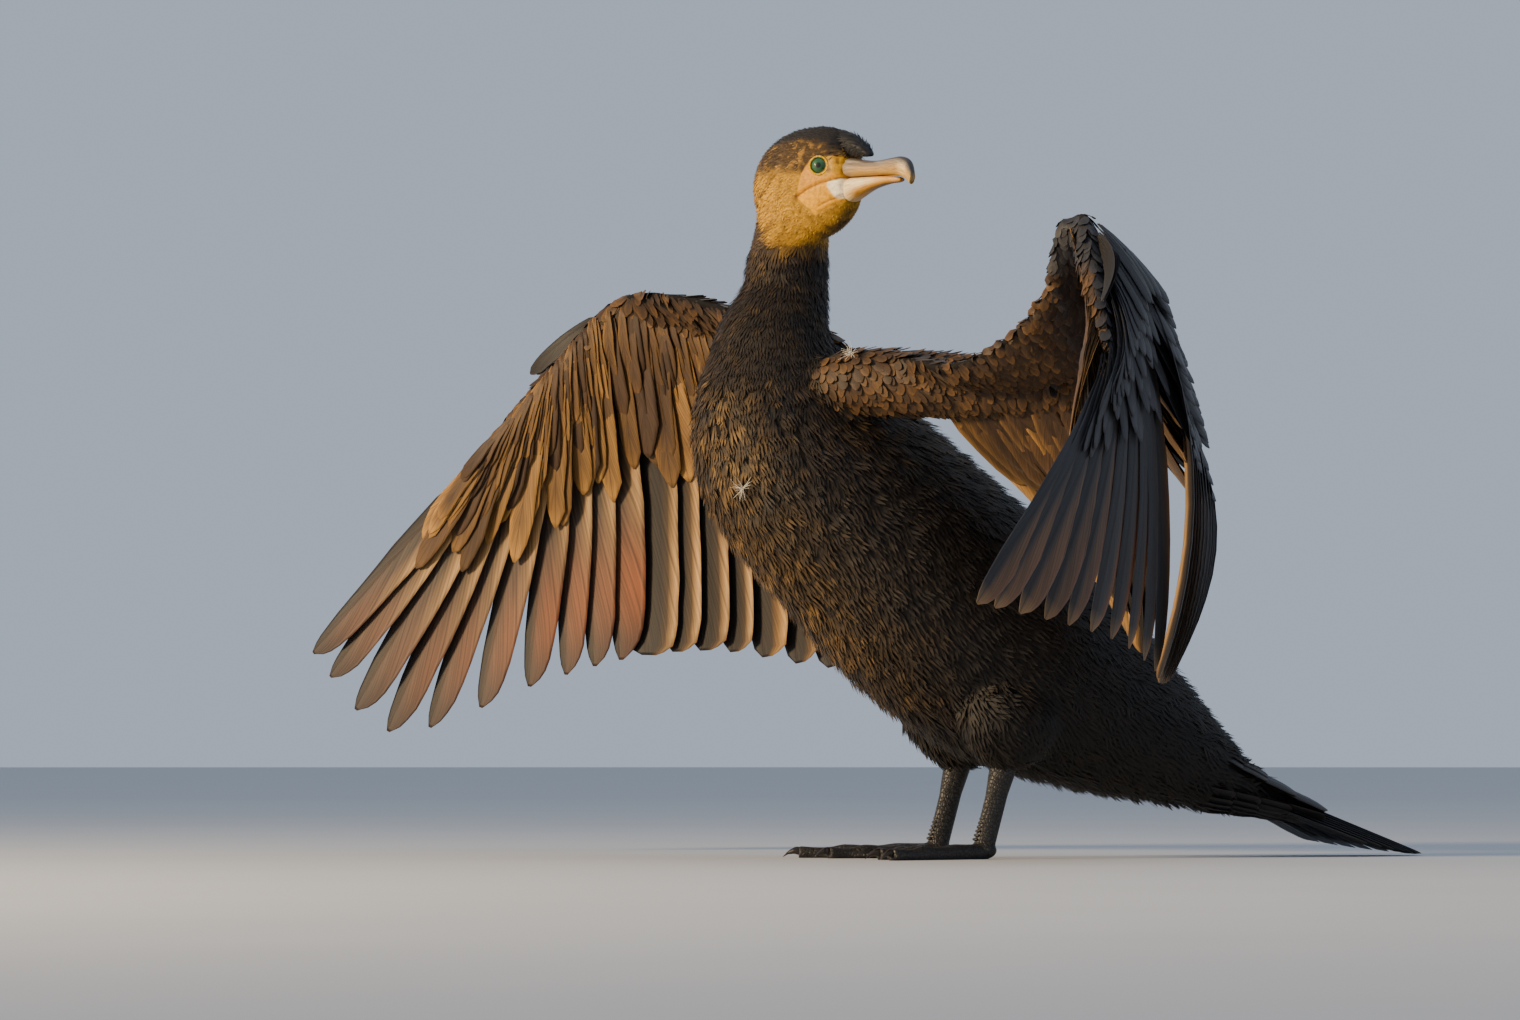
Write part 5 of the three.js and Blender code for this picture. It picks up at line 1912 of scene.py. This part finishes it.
@dataclass
class Tail:
    """Stiff tail feathers with their coverts over the root."""

    place: Place
    material: Material
    length: float = 163.0
    count: int = 14
    fan: float = math.radians(15)
    half_width: float = 10.5
    step: float = 58.0
    seat: float = 22.0
    # Coverts over and under the root, row by row: where they start and end, and how many
    covert_rows: tuple = ((18, 84, 9), (6, 58, 9), (-8, 34, 9), (-22, 14, 9))
    black: Array = hue("#161618")
    grey: Array = hue("#35353a")
    shaft: Array = hue("#5a564f")
    brown: Array = hue("#2a211a")

    def spot(self, x: Array, y: Array, z: Array) -> Array:
        """Points from along the tail, to its left and above it."""
        x, y, z = np.broadcast_arrays(*map(np.atleast_1d, (x, y, z)))
        return Spine.tail_root() + x[:, None] * TAIL_ALONG + y[:, None] * LEFTWARD + z[:, None] * TAIL_ABOVE

    def colour(self, side: int, across: Array, down: Array, i: int) -> Array:
        """Black-grey, with a paler shaft and worn edges."""
        edge = np.abs(across)
        made = blended(self.black, self.grey, ease(0.5, 1.0, edge) * 0.75)
        made = blended(made, self.shaft, (edge < 0.05) * 0.8)
        return made * (0.85 + 0.3 * ((i * 7) % 5) / 4)

    def covert_colour(self, side: int, across: Array, down: Array, i: int) -> Array:
        """Brown-black with a faint paler tip."""
        rim = np.clip(ease(0.5, 1.0, np.abs(across)) + ease(0.85, 1.0, down), 0, 1)
        return blended(self.black, self.brown, rim) * (0.8 + 0.4 * ((i * 5) % 7) / 6)

    def build(self) -> list[Object]:
        """The tail feathers and the coverts above and below their roots."""
        middle = (self.count - 1) / 2
        number = np.arange(self.count)
        out = (number - middle) / middle
        rank = 2 * np.floor(np.abs(number - middle)) + (number > middle)
        reach = self.length - self.seat - self.step * np.abs(out) ** 1.4
        level = 6.2 - rank * 0.98
        angle = out * self.fan
        root = self.spot(self.seat, out * 15, level)
        tip = self.spot(self.seat + reach * np.cos(angle), out * 15 + reach * np.sin(angle), level - 5)
        tip[:, 2] = np.maximum(tip[:, 2], 1.6)
        above = np.broadcast_to(TAIL_ABOVE, root.shape)
        toward = unit(LEFTWARD * np.where(out >= 0, 1, -1)[:, None] + np.zeros_like(root))
        full = np.full(self.count, self.half_width)
        shape = Shape()
        vanes = Vanes(root, tip, above, above, toward, full * 0.8, full, np.zeros(self.count),
                      SECONDARY_LEAD, SECONDARY_TRAIL, roll=0.0, shaft=1.5, camber=0.12, fray=0.1)
        vanes.lay(shape, self.colour, 5, (0, 7, 4))
        made = [add_piece(shape, "tail_flight_feathers", self.place, self.material, "tail_feathers", "tail")]
        shape = Shape()
        cell = 0
        for face in (1, -1):
            for row, (start, end, count) in enumerate(self.covert_rows):
                out = np.linspace(-1, 1, count)
                thick = np.interp(start, [-22, 18], [20 if face > 0 else 22, 8])
                round_off = np.sqrt(1 - 0.72 * out ** 2)
                root = self.spot(start, out * np.interp(start, [-22, 18], [23, 17]), face * thick * round_off)
                fall = 5.5 + (3 - row) * -0.6 + np.interp(end, [14, 84], [12, 0])
                tip = self.spot(end - 12 * np.abs(out), out * 26, face * (fall * round_off + 1.0) - 1.0)
                tip[:, 2] = np.maximum(tip[:, 2], 1.2)
                root[:, 2] = np.maximum(root[:, 2], 1.2)
                sides = np.broadcast_to(LEFTWARD, root.shape)
                width = np.full(count, 8.5)
                lifted = unit(TAIL_ABOVE + LEFTWARD * (out * 0.5 * face)[:, None])
                vanes = Vanes(root, tip, lifted, lifted, sides, width, width, np.full(count, 2.5 * face),
                              COVERT_EDGE, COVERT_EDGE, roll=0.0, shaft=0.3, rows=SHORT_ROWS,
                              across=SHORT_ACROSS, fray=0.15, thickness=0.4)
                cell = vanes.lay(shape, self.covert_colour, 70 + row, (cell, 12, 12))
        return made + [add_piece(shape, "tail_coverts", self.place, self.material, "tail_feathers")]


@dataclass
class Bill:
    """The hooked bill: a ridged upper sheath with its nail, and the lower sheath under it."""

    place: Place
    material: Material
    around: int = 40
    steps: int = 70
    upper: tuple = ((0, 6.6, -8, 10.5), (12, 3.4, -8, 8.6), (26, 1.8, -8.2, 6.8), (39, 2.8, -8.6, 5.8),
                    (47, 3.2, -9.8, 5.4), (53, 0.4, -12, 4), (56, -6.4, -15, 2.2))
    lower: tuple = ((0, -8.0, -26.5, 9.6), (10, -8.1, -21.2, 8.2), (22, -8.3, -16.4, 6.2),
                    (35, -8.7, -13.8, 4.9), (43, -9.6, -13.4, 3.6), (46, -10.8, -12.8, 2.2))
    horn: Array = hue("#b08434")
    grey: Array = hue("#8a7d6c")
    culmen: Array = hue("#3d3532")
    nail: Array = hue("#c89c4c")
    pale: Array = hue("#f2d9a6")
    tan: Array = hue("#cf9430")
    # Dark cutting edges, and painted shade in the groove along the upper sheath
    edge: Array = hue("#4a2c1a")

    def sheath(self, name: str, rows: tuple, top: bool) -> Mesh:
        """One sheath, lofted along the head's forward axis.

        Args:
            name: The mesh's name.
            rows: Sections: forward, top, bottom and half width.
            top: Whether it is the upper one.

        Returns:
            Its mesh.
        """
        at = np.linspace(0, len(rows) - 1, self.steps)
        forward, high, low, half = between(rows, at).T
        angle = np.linspace(0, 2 * np.pi, self.around, endpoint=False)
        cos, sin = np.cos(angle), np.sin(angle)
        middle, tall = (high + low) / 2, (high - low) / 2
        flat = (sin < 0) == top
        neat = 0.8 + 0.2 * ease(0, 7, forward)
        tall, half = tall * neat, half * neat
        peak = np.sign(sin) * np.abs(sin) ** np.where(flat, 0.45, 0.92)
        z = middle[:, None] + tall[:, None] * peak[None]
        pinch = 1 - 0.16 * np.exp(-((sin[None] - 0.45) / 0.16) ** 2) * ease(48, 40, forward)[:, None] * top
        y = half[:, None] * (np.sign(cos) * np.abs(cos) ** 0.85)[None] * pinch
        x = np.broadcast_to((BILL_START - 5 + forward * (1 + 5 / forward.max()))[:, None], z.shape).copy()
        if top:
            hook = ease(49, 56, forward)[:, None]
            x = x - hook * np.clip(-peak, 0, 1)[None] * 1.6
            slit = np.exp(-((z - 1.2 + 0.03 * forward[:, None]) / 0.5) ** 2) * ease(6, 9, forward)[:, None]
            slit = slit * ease(30, 26, forward)[:, None] * (sin[None] > 0)
            y = y * (1 - 0.09 * slit)
        rings = from_head(np.stack([x, y, z], axis=-1))
        share = forward[:, None] / forward.max()
        if top:
            tint = blended(self.grey, self.horn, ease(0.55, -0.3, sin)[None] * ease(0.0, 0.3, share))
            ridge = ease(0.55, 0.95, sin)[None] * (0.55 + 0.45 * ease(0.5, 0.8, share))
            tint = blended(tint, self.culmen, ridge)
            tint = blended(tint, self.nail, ease(0.8, 0.9, share) * ease(0.5, 0.1, sin)[None])
            tint = blended(tint, self.edge, ease(-0.86, -0.97, sin)[None] * 0.5)
            # Painted shade in the groove along the upper sheath
            tint = blended(tint, self.edge, 0.7 * slit)
        else:
            tint = blended(self.pale, self.tan, ease(0.35, 0.85, share))
            tint = blended(tint, self.tan, ease(0.25, -0.6, sin)[None] * ease(0.0, 0.3, share))
            tint = blended(tint, self.edge, ease(0.8, 0.97, sin)[None] * 0.6)
            tint = blended(tint, self.culmen, ease(-0.75, -1.0, sin)[None] * 0.6 * ease(0.3, 0.6, share))
        shape = Shape()
        tube(shape, rings, tint)
        mesh = shape.mesh(name, self.place)
        layer = mesh.uv_layers["vane"]
        numbers = np.zeros(len(mesh.loops), int)
        mesh.loops.foreach_get("vertex_index", numbers)
        ring = np.minimum(numbers // self.around, self.steps - 1) / self.steps
        spot = (numbers % self.around) / self.around
        layer.data.foreach_set("uv", np.column_stack([np.abs(spot - 0.5), ring]).ravel())
        mesh.uv_layers.remove(mesh.uv_layers["OFBake"])
        return mesh

    def build(self) -> list[Object]:
        """Both sheaths."""
        made = []
        for label, rows, top in (("upper", self.upper, True), ("lower", self.lower, False)):
            name = f"bill_{label}_sheath"
            piece = new_object(name, self.sheath(name, rows, top), self.material)
            made.append(settle(piece, "horn", f"bill_{label}"))
        return made


@dataclass
class BeadRun:
    """Beads or plates strung along a path by Geometry Nodes."""

    material: Material
    count: int
    size: tuple[float, float, float]
    shrink: float = 1.0

    def tree(self) -> NodeTree:
        """The tree: resample the path, set a bead on each point and join them."""
        tree = bpy.data.node_groups.new("bead_run", "GeometryNodeTree")
        for label, way, kind in (("Path", "INPUT", "Geometry"), ("Count", "INPUT", "Int"),
                                 ("Bead Size", "INPUT", "Vector"), ("End Scale", "INPUT", "Float"),
                                 ("Beads", "OUTPUT", "Geometry")):
            tree.interface.new_socket(label, in_out=way, socket_type="NodeSocket" + kind)
        given = node(tree, "NodeGroupInput")
        curve = node(tree, "GeometryNodeMeshToCurve", {"Mesh": given.outputs["Path"]})
        spaced = node(tree, "GeometryNodeResampleCurve", {
            "Curve": curve, "Count": given.outputs["Count"]}, mode="COUNT")
        tangent = node(tree, "GeometryNodeInputTangent")
        aimed = node(tree, "FunctionNodeAlignRotationToVector", {"Vector": tangent}, axis="X",
                     pivot_axis="Z")
        share = node(tree, "GeometryNodeSplineParameter")
        taper = node(tree, "ShaderNodeMapRange", {"Value": share.outputs["Factor"], 3: 1.0,
                                                  4: given.outputs["End Scale"]})
        sized = node(tree, "ShaderNodeVectorMath", {0: given.outputs["Bead Size"], "Scale": taper},
                     operation="SCALE")
        bead = node(tree, "GeometryNodeMeshIcoSphere", {"Radius": 1.0, "Subdivisions": 2})
        strung = node(tree, "GeometryNodeInstanceOnPoints", {
            "Points": spaced, "Instance": bead, "Rotation": aimed,
            "Scale": sized})
        real = node(tree, "GeometryNodeRealizeInstances", {0: strung})
        smooth = node(tree, "GeometryNodeSetShadeSmooth", {0: real})
        dressed = node(tree, "GeometryNodeSetMaterial", {"Geometry": smooth,
                                                         "Material": self.material})
        node(tree, "NodeGroupOutput", {0: dressed})
        return tree

    def build(self, name: str, paths: list[Array]) -> Object:
        """Strings beads on paths.

        Args:
            name: The piece's name.
            paths: Points of each path, in metres.

        Returns:
            One plain mesh object.
        """
        points = np.concatenate(paths)
        starts = np.cumsum([0] + [len(path) for path in paths])
        edges = [(i, i + 1) for a, b in zip(starts[:-1], starts[1:]) for i in range(a, b - 1)]
        mesh = bpy.data.meshes.new(name)
        mesh.from_pydata(points.tolist(), edges, [])
        scratch = new_object(name + "_path", mesh)
        strung = scratch.modifiers.new("Beads", "NODES")
        strung.node_group = self.tree()
        wanted = {"Count": self.count, "Bead Size": [value * MM for value in self.size],
                  "End Scale": self.shrink}
        for socket in strung.node_group.interface.items_tree:
            if socket.name in wanted and socket.in_out == "INPUT":
                strung[socket.identifier] = wanted[socket.name]
        made = evaluated(scratch, name)
        return new_object(name, made, self.material)


@dataclass
class Eyes:
    """Both eyeballs, with the beaded ring of skin round each."""

    place: Place
    skin: Skin
    pupil: float = 1.75
    iris: float = 5.15
    ring_ahead: float = 5.15
    ring_radius: float = 5.85
    beads: int = 38
    bead: tuple = (0.7, 0.72, 0.72)
    black: Array = hue("#030303")
    emerald: Array = hue("#1d4a2b")
    deep: Array = hue("#0c2f24")
    bright: Array = hue("#31693c")

    def ball(self, side: Side) -> Mesh:
        """One eyeball, with its iris drawn in rings about the way it looks.

        Args:
            side: Which eye.

        Returns:
            Its mesh.
        """
        middle, look = self.skin.eye_axis(side)
        sideways = unit(np.cross(look, UP))
        above = np.cross(sideways, look)
        around, rings = 64, 48
        polar = np.linspace(0.004, np.pi - 0.01, rings)
        radius = self.skin.eye_radius + 0.35 * ease(0.75, 0.2, polar)
        centres = middle + look * (radius * np.cos(polar))[:, None]
        reach = radius * np.sin(polar)
        points = ellipses(centres, sideways, above, reach, reach, around)
        turn = np.linspace(0, 2 * np.pi, around, endpoint=False)
        fibre = 0.5 + 0.5 * np.sin(turn * 23 + 2 * np.sin(turn * 5))
        out = reach[:, None] + 0 * turn[None]
        front = (polar < 1.3)[:, None] + 0 * turn[None] > 0
        tint = blended(self.emerald, self.bright, fibre[None] * ease(1.6, 2.6, out) * 0.6)
        tint = blended(tint, self.deep, ease(self.iris - 1.0, self.iris, out))
        tint = blended(tint, self.black, ease(self.pupil + 0.25, self.pupil - 0.05, out))
        tint = np.where((front & (out < self.iris + 0.3))[..., None], tint, self.black)
        shape = Shape()
        tube(shape, from_head(points), tint)
        return shape.mesh(f"{side.value}_eyeball", self.place, coat=False)

    def build(self) -> list[Object]:
        """The eyeballs and their rings."""
        wet = WetEye().build()
        ring_skin = EYE_RING_SKIN.build()
        made = []
        for side in Side:
            ball = new_object(f"{side.value}_eyeball", self.ball(side), wet)
            made.append(settle(ball, "eye", f"eye_{side.value}"))
            middle, look = self.skin.eye_axis(side)
            sideways = unit(np.cross(look, UP))
            above = np.cross(sideways, look)
            turn = np.linspace(0, 2 * np.pi, 49)[:, None]
            path = middle + look * self.ring_ahead
            path = path + self.ring_radius * (sideways * np.cos(turn) + above * np.sin(turn))
            run = BeadRun(ring_skin, self.beads, self.bead)
            ring = run.build(f"{side.value}_eye_ring", [self.place.world(from_head(path))])
            made.append(settle(ring, "head_plumage"))
        return made


@dataclass
class Leg:
    """A shank and a foot of four toes joined by three webs."""

    place: Place
    side: Side
    stance: float = 34.0
    ankle: tuple[float, float] = (5.0, 61.0)
    joint: tuple[float, float] = (-11.0, 7.0)
    turn: float = math.radians(6)
    toes: tuple = ((104, 17, 6), (90, -3, 6), (64, -24, 5.4), (38, -62, 4.6))
    claw: float = 12.0
    voxel: float = 1.15

    def place_foot(self, points: Array) -> Array:
        """Points of the bird's frame, from ahead, outwards and up of the heel.

        Args:
            points: Points of the foot's own frame.

        Returns:
            The same points in the bird's frame.
        """
        angle = self.side.sign * self.turn - math.pi / 2
        x, y, z = points[..., 0], points[..., 1] * self.side.sign, points[..., 2]
        cos, sin = math.cos(angle), math.sin(angle)
        return np.stack([
            self.side.sign * self.stance + x * cos - y * sin, self.joint[0] + x * sin + y * cos, z], -1)

    def toe_line(self, toe: tuple, count: int) -> tuple[Array, Array]:
        """Middle line of a toe and its radius along it, in the foot's own frame.

        Args:
            toe: Its length, angle and radius.
            count: How many points.

        Returns:
            The line's points and the radii there.
        """
        length, angle, radius = toe
        body = length - self.claw
        at = np.linspace(0, 1, count)
        size = np.interp(at, [0, 0.15, 0.3, 0.42, 0.5, 0.6, 0.68, 0.78, 0.86, 1.0],
                         [1, 0.98, 1.0, 0.84, 0.82, 0.9, 0.92, 0.72, 0.7, 0.8]) * radius
        lean = math.radians(angle)
        way = np.array([math.cos(lean), math.sin(lean), 0.0])
        return way * (body * at)[:, None] + UP * (size * 0.72)[:, None], size

    def flesh(self) -> Mesh:
        """Shank, toes and webs as one closed surface, in mm."""
        shape = Shape()
        share = np.linspace(0, 1, 30)
        top = np.array([self.side.sign * self.stance, self.ankle[0], self.ankle[1] + 4])
        low = np.array([self.side.sign * self.stance, self.joint[0], self.joint[1]])
        wide = np.interp(share, [0, 0.12, 0.4, 0.8, 1], [8.6, 7.6, 4.6, 4.6, 5.4])
        deep = np.interp(share, [0, 0.12, 0.4, 0.8, 1], [9.6, 9.4, 8.0, 7.8, 7.6])
        tube(shape, ellipses(top + (low - top) * share[:, None], LEFTWARD, REARWARD, wide, deep, 24))
        for toe in self.toes:
            line, size = self.toe_line(toe, 26)
            way = unit(line[-1] * [1, 1, 0])
            across = np.cross(UP, way)
            rings = ellipses(line, across, UP, size, size * 0.95, 16)
            tube(shape, self.place_foot(rings))
        for outer, inner in zip(self.toes[:-1], self.toes[1:]):
            self.web(shape, outer, inner)
        heel = np.linspace(-1, 1, 12)
        reach = 8.2 * np.sqrt(np.clip(1 - heel ** 2, 0.01, 1))
        centres = np.column_stack([heel * 9, np.zeros(12), np.full(12, 5.6)])
        rings = ellipses(centres, REARWARD, UP, reach, reach * 0.7, 16)
        tube(shape, self.place_foot(rings))
        return one_surface(shape, f"{self.side.value}_leg", self.voxel, 3)

    def web(self, shape: Shape, outer: tuple, inner: tuple) -> None:
        """A thin web between two toes, with a hollow front edge and shallow pleats.

        Args:
            shape: Where it goes.
            outer: The outer toe.
            inner: The inner toe.
        """
        share = np.linspace(0, 1, 13)
        reach = 0.84
        angle = np.radians(outer[1] + (inner[1] - outer[1]) * share)
        length = reach * (outer[0] + (inner[0] - outer[0]) * share)
        length = length * (1 - 0.2 * 4 * share * (1 - share))
        along = np.linspace(0.02, 1, 14)
        x = length[:, None] * along[None] * np.cos(angle)[:, None]
        y = length[:, None] * along[None] * np.sin(angle)[:, None]
        pleat = 0.7 * np.sin(share * 3 * np.pi)[:, None] ** 2 * along[None]
        top = np.stack([x, y, 3.1 + pleat], axis=-1)
        low = np.stack([x, y, np.full_like(x, 0.9)], axis=-1)
        rings = np.concatenate([top, low[:, ::-1]], axis=1)
        tube(shape, self.place_foot(rings))

    def claws(self, material: Material) -> Object:
        """The hooked claws.

        Args:
            material: Their finish.

        Returns:
            The piece.
        """
        shape = Shape()
        for toe in self.toes:
            line, size = self.toe_line(toe, 26)
            way = unit(line[-1] * [1, 1, 0])
            across = np.cross(UP, way)
            share = np.linspace(0, 1, 12)
            centres = line[-1] + way * (-2.5 + 13.0 * share)[:, None]
            centres[:, 2] = np.interp(share, [0, 0.4, 0.75, 1], [4.4, 5.0, 3.4, 0.7])
            reach = size[-1] * np.interp(share, [0, 0.25, 0.6, 1], [0.55, 0.62, 0.36, 0.06])
            rings = ellipses(centres, across, UP, reach * 0.7, reach * 0.95, 14)
            tube(shape, self.place_foot(rings))
        return add_piece(shape, f"{self.side.value}_claws", self.place, material, "leg_skin", coat=False)

    def build(self, skin: Material, claw: Material,
              scute: Material) -> list[Object]:
        """The leg, its claws and the scutes along its toes.

        Args:
            skin: Finish of the skin.
            claw: Finish of the claws.
            scute: Finish of the scutes.

        Returns:
            The pieces.
        """
        mesh = self.flesh()
        points = read_points(mesh)
        points[:, 2] = np.maximum(points[:, 2], 0.0)
        move_points(mesh, self.place.world(points))
        label = self.side.value
        leg = settle(new_object(f"{label}_leg", mesh, skin), "leg_skin", f"leg_{label}", f"foot_{label}")
        paths = []
        for toe in self.toes:
            line, size = self.toe_line(toe, 30)
            line = line + UP * (size * 0.62)[:, None]
            paths.append(self.place.world(self.place_foot(line[4:-2])))
        run = BeadRun(scute, 22, (1.5, 2.9, 0.9), 0.8)
        scutes = settle(run.build(f"{label}_toe_scutes", paths), "leg_skin")
        top = np.array([self.side.sign * self.stance, self.ankle[0] - 7.0, self.ankle[1] - 8])
        low = np.array([self.side.sign * self.stance, self.joint[0] - 6.2, self.joint[1] + 6])
        front = top + (low - top) * np.linspace(0, 1, 20)[:, None]
        run = BeadRun(scute, 16, (1.5, 3.0, 1.1), 1.0)
        shank = settle(run.build(f"{label}_shank_scutes", [self.place.world(front)]), "leg_skin")
        return [leg, scutes, shank, self.claws(claw)]


# The bird is looked at from its front left: the level ways to the right and to the viewer
VIEW_YAW = math.radians(65)
VIEW_RIGHT = np.array([math.cos(VIEW_YAW), math.sin(VIEW_YAW), 0.0])
VIEW_BACK = np.array([math.sin(VIEW_YAW), -math.cos(VIEW_YAW), 0.0])


@dataclass
class StrayDown:
    """Two loose bits of white down that cling to the breast and the shoulder."""

    place: Place
    skin: Skin
    material: Material
    spots: tuple = ((-155.1, 237.6, 11.0), (-83.8, 327.4, 10.0))
    strands: int = 26
    lift: float = 5.2
    curl: float = 2.2
    barb: float = 0.16

    def build(self) -> Object:
        """Both bits, each a loose star of fine curved barbs."""
        draw = np.random.default_rng(77)
        shape = Shape()
        share = np.linspace(0, 1, 9)
        points = self.skin.points
        level, nearer = points @ VIEW_RIGHT, points @ VIEW_BACK
        for sideways, high, reach in self.spots:
            near = (np.abs(level - sideways) < 4) & (np.abs(points[:, 2] - high) < 4)
            middle = points[np.argmax(np.where(near, nearer, -1e9))]
            found, normal, _, _ = self.skin.tree.find_nearest(Vector(middle))
            normal = np.array(normal)
            centre = np.array(found) + normal * self.lift
            for _ in range(self.strands):
                way = unit(draw.normal(size=3) + normal * 0.5)
                bend = np.cross(way, draw.normal(size=3))
                length = reach * draw.uniform(0.45, 1.0)
                line = centre + way * (length * share)[:, None] + bend * (self.curl * share ** 2)[:, None]
                low = np.maximum(-dot(line - centre, normal)[:, 0] - 2.0, 0)
                line = line + normal * low[:, None]
                across = unit(np.cross(way, normal + 0.01))
                size = self.barb * (1.1 - 0.7 * share)
                tube(shape, ellipses(line, across, unit(np.cross(across, way)), size, size, 4))
        return add_piece(shape, "stray_down", self.place, self.material, "body_plumage", coat=False)


@dataclass
class Studio:
    """Camera, floor, backdrop and lights."""

    place: Place
    across: float = -141.9
    height: float = 229.68
    distance: float = 4997.45
    eye_height: float = 70.0
    lens: float = 179.43
    sensor: float = 36.0
    aim: tuple = (-10.0, -60.0, 260.0)
    floor_radius: float = 30.0
    sky_strength: float = 1.12
    backdrop: str = "#a4afbf"
    floor: str = "#b9bcc0"

    def camera(self) -> None:
        """A long lens just above the floor, which looks slightly up."""
        data = bpy.data.cameras.new("camera")
        data.lens = self.lens
        data.sensor_width = self.sensor
        made = bpy.data.objects.new("camera", data)
        bpy.context.scene.collection.objects.link(made)
        target = VIEW_RIGHT * self.across + UP * self.height
        spot = VIEW_RIGHT * self.across + VIEW_BACK * self.distance + UP * self.eye_height
        made.location = self.place.world(spot)
        made.rotation_euler = Vector(target - spot).to_track_quat("-Z", "Y").to_euler()
        bpy.context.scene.camera = made

    def light(self, name: str, way: Array, distance: float, size: float, power: float, colour: str) -> None:
        """One soft area light that faces the bird, at a distance in mm.

        Args:
            name: Its name.
            way: The way to it from the bird.
            distance: How far off it is.
            size: Its width in metres.
            power: Its power in watts.
            colour: Its sRGB hex.
        """
        data = bpy.data.lights.new(name, "AREA")
        data.shape = "DISK"
        data.size = size
        data.energy = power
        data.color = tuple(linear(colour))
        made = bpy.data.objects.new(name, data)
        bpy.context.scene.collection.objects.link(made)
        spot = self.place.world(self.aim + unit(way) * distance)
        made.location = spot
        made.rotation_euler = Vector(self.place.world(self.aim) - spot).to_track_quat("-Z", "Y").to_euler()

    def build(self) -> None:
        """Sets the stage."""
        self.camera()
        mesh = bpy.data.meshes.new("floor")
        turn = np.linspace(0, 2 * np.pi, 96, endpoint=False)
        rim = self.floor_radius * np.column_stack([np.cos(turn), np.sin(turn), 0 * turn])
        mesh.from_pydata(rim.tolist(), [], [list(range(len(turn)))])
        floor = new_object("floor", mesh, Cloudy("pale studio floor", self.floor).build())
        world = bpy.data.worlds.new("soft sky")
        world.use_nodes = True
        sky = world.node_tree.nodes["Background"]
        sky.inputs[0].default_value = (*linear(self.backdrop), 1.0)
        sky.inputs[1].default_value = self.sky_strength
        bpy.context.scene.world = world
        key = -0.88 * VIEW_RIGHT + 0.52 * VIEW_BACK + 0.3 * UP
        self.light("warm low key", key, 3200.0, 0.7, 180.0, "#ffe0b0")
        fill = 0.3 * VIEW_RIGHT + 0.4 * VIEW_BACK + UP
        self.light("cool top fill", fill, 3000.0, 2.5, 9.0, "#dfe8ff")


def main() -> None:
    """Builds the bird around the frame and sets the stage."""
    logging.basicConfig(level=logging.INFO, format="%(name)s: %(message)s")
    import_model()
    place = Place.from_eyes()
    Studio(place).build()
    markings = Markings()
    quills = {side: WINGS[side].quills() for side in Side}
    skin = Skin(place, markings, quills)
    skin.build()
    small = Plumage("small contour plumage", roughness=0.6, bundles=6.0, slant=5.0, contrast=0.35).build()
    vane = Plumage("flight feather vane").build()
    Coat(place, markings, skin, small).build()
    for side in Side:
        opened = LEFT_HAND_TURN if side is Side.LEFT else np.zeros(3)
        WingFeathers(place, WINGS[side], quills[side], vane, opened=opened).build()
    Tail(place, vane).build()
    Bill(place, BillHorn().build()).build()
    Eyes(place, skin).build()
    leg_skin = ScaledSkin().build()
    claw = ScaledSkin("smooth claw horn", scale=9.0, dark="#171412", light="#3b322b", roughness=0.3).build()
    scute = ScaledSkin("worn scute horn", scale=5.0, dark="#232221", light="#4c4945", roughness=0.42).build()
    for side in Side:
        Leg(place, side).build(leg_skin, claw, scute)
    StrayDown(place, skin, Cloudy("white down", "#e9e2d2").build()).build()


if __name__ == "__main__":
    main()
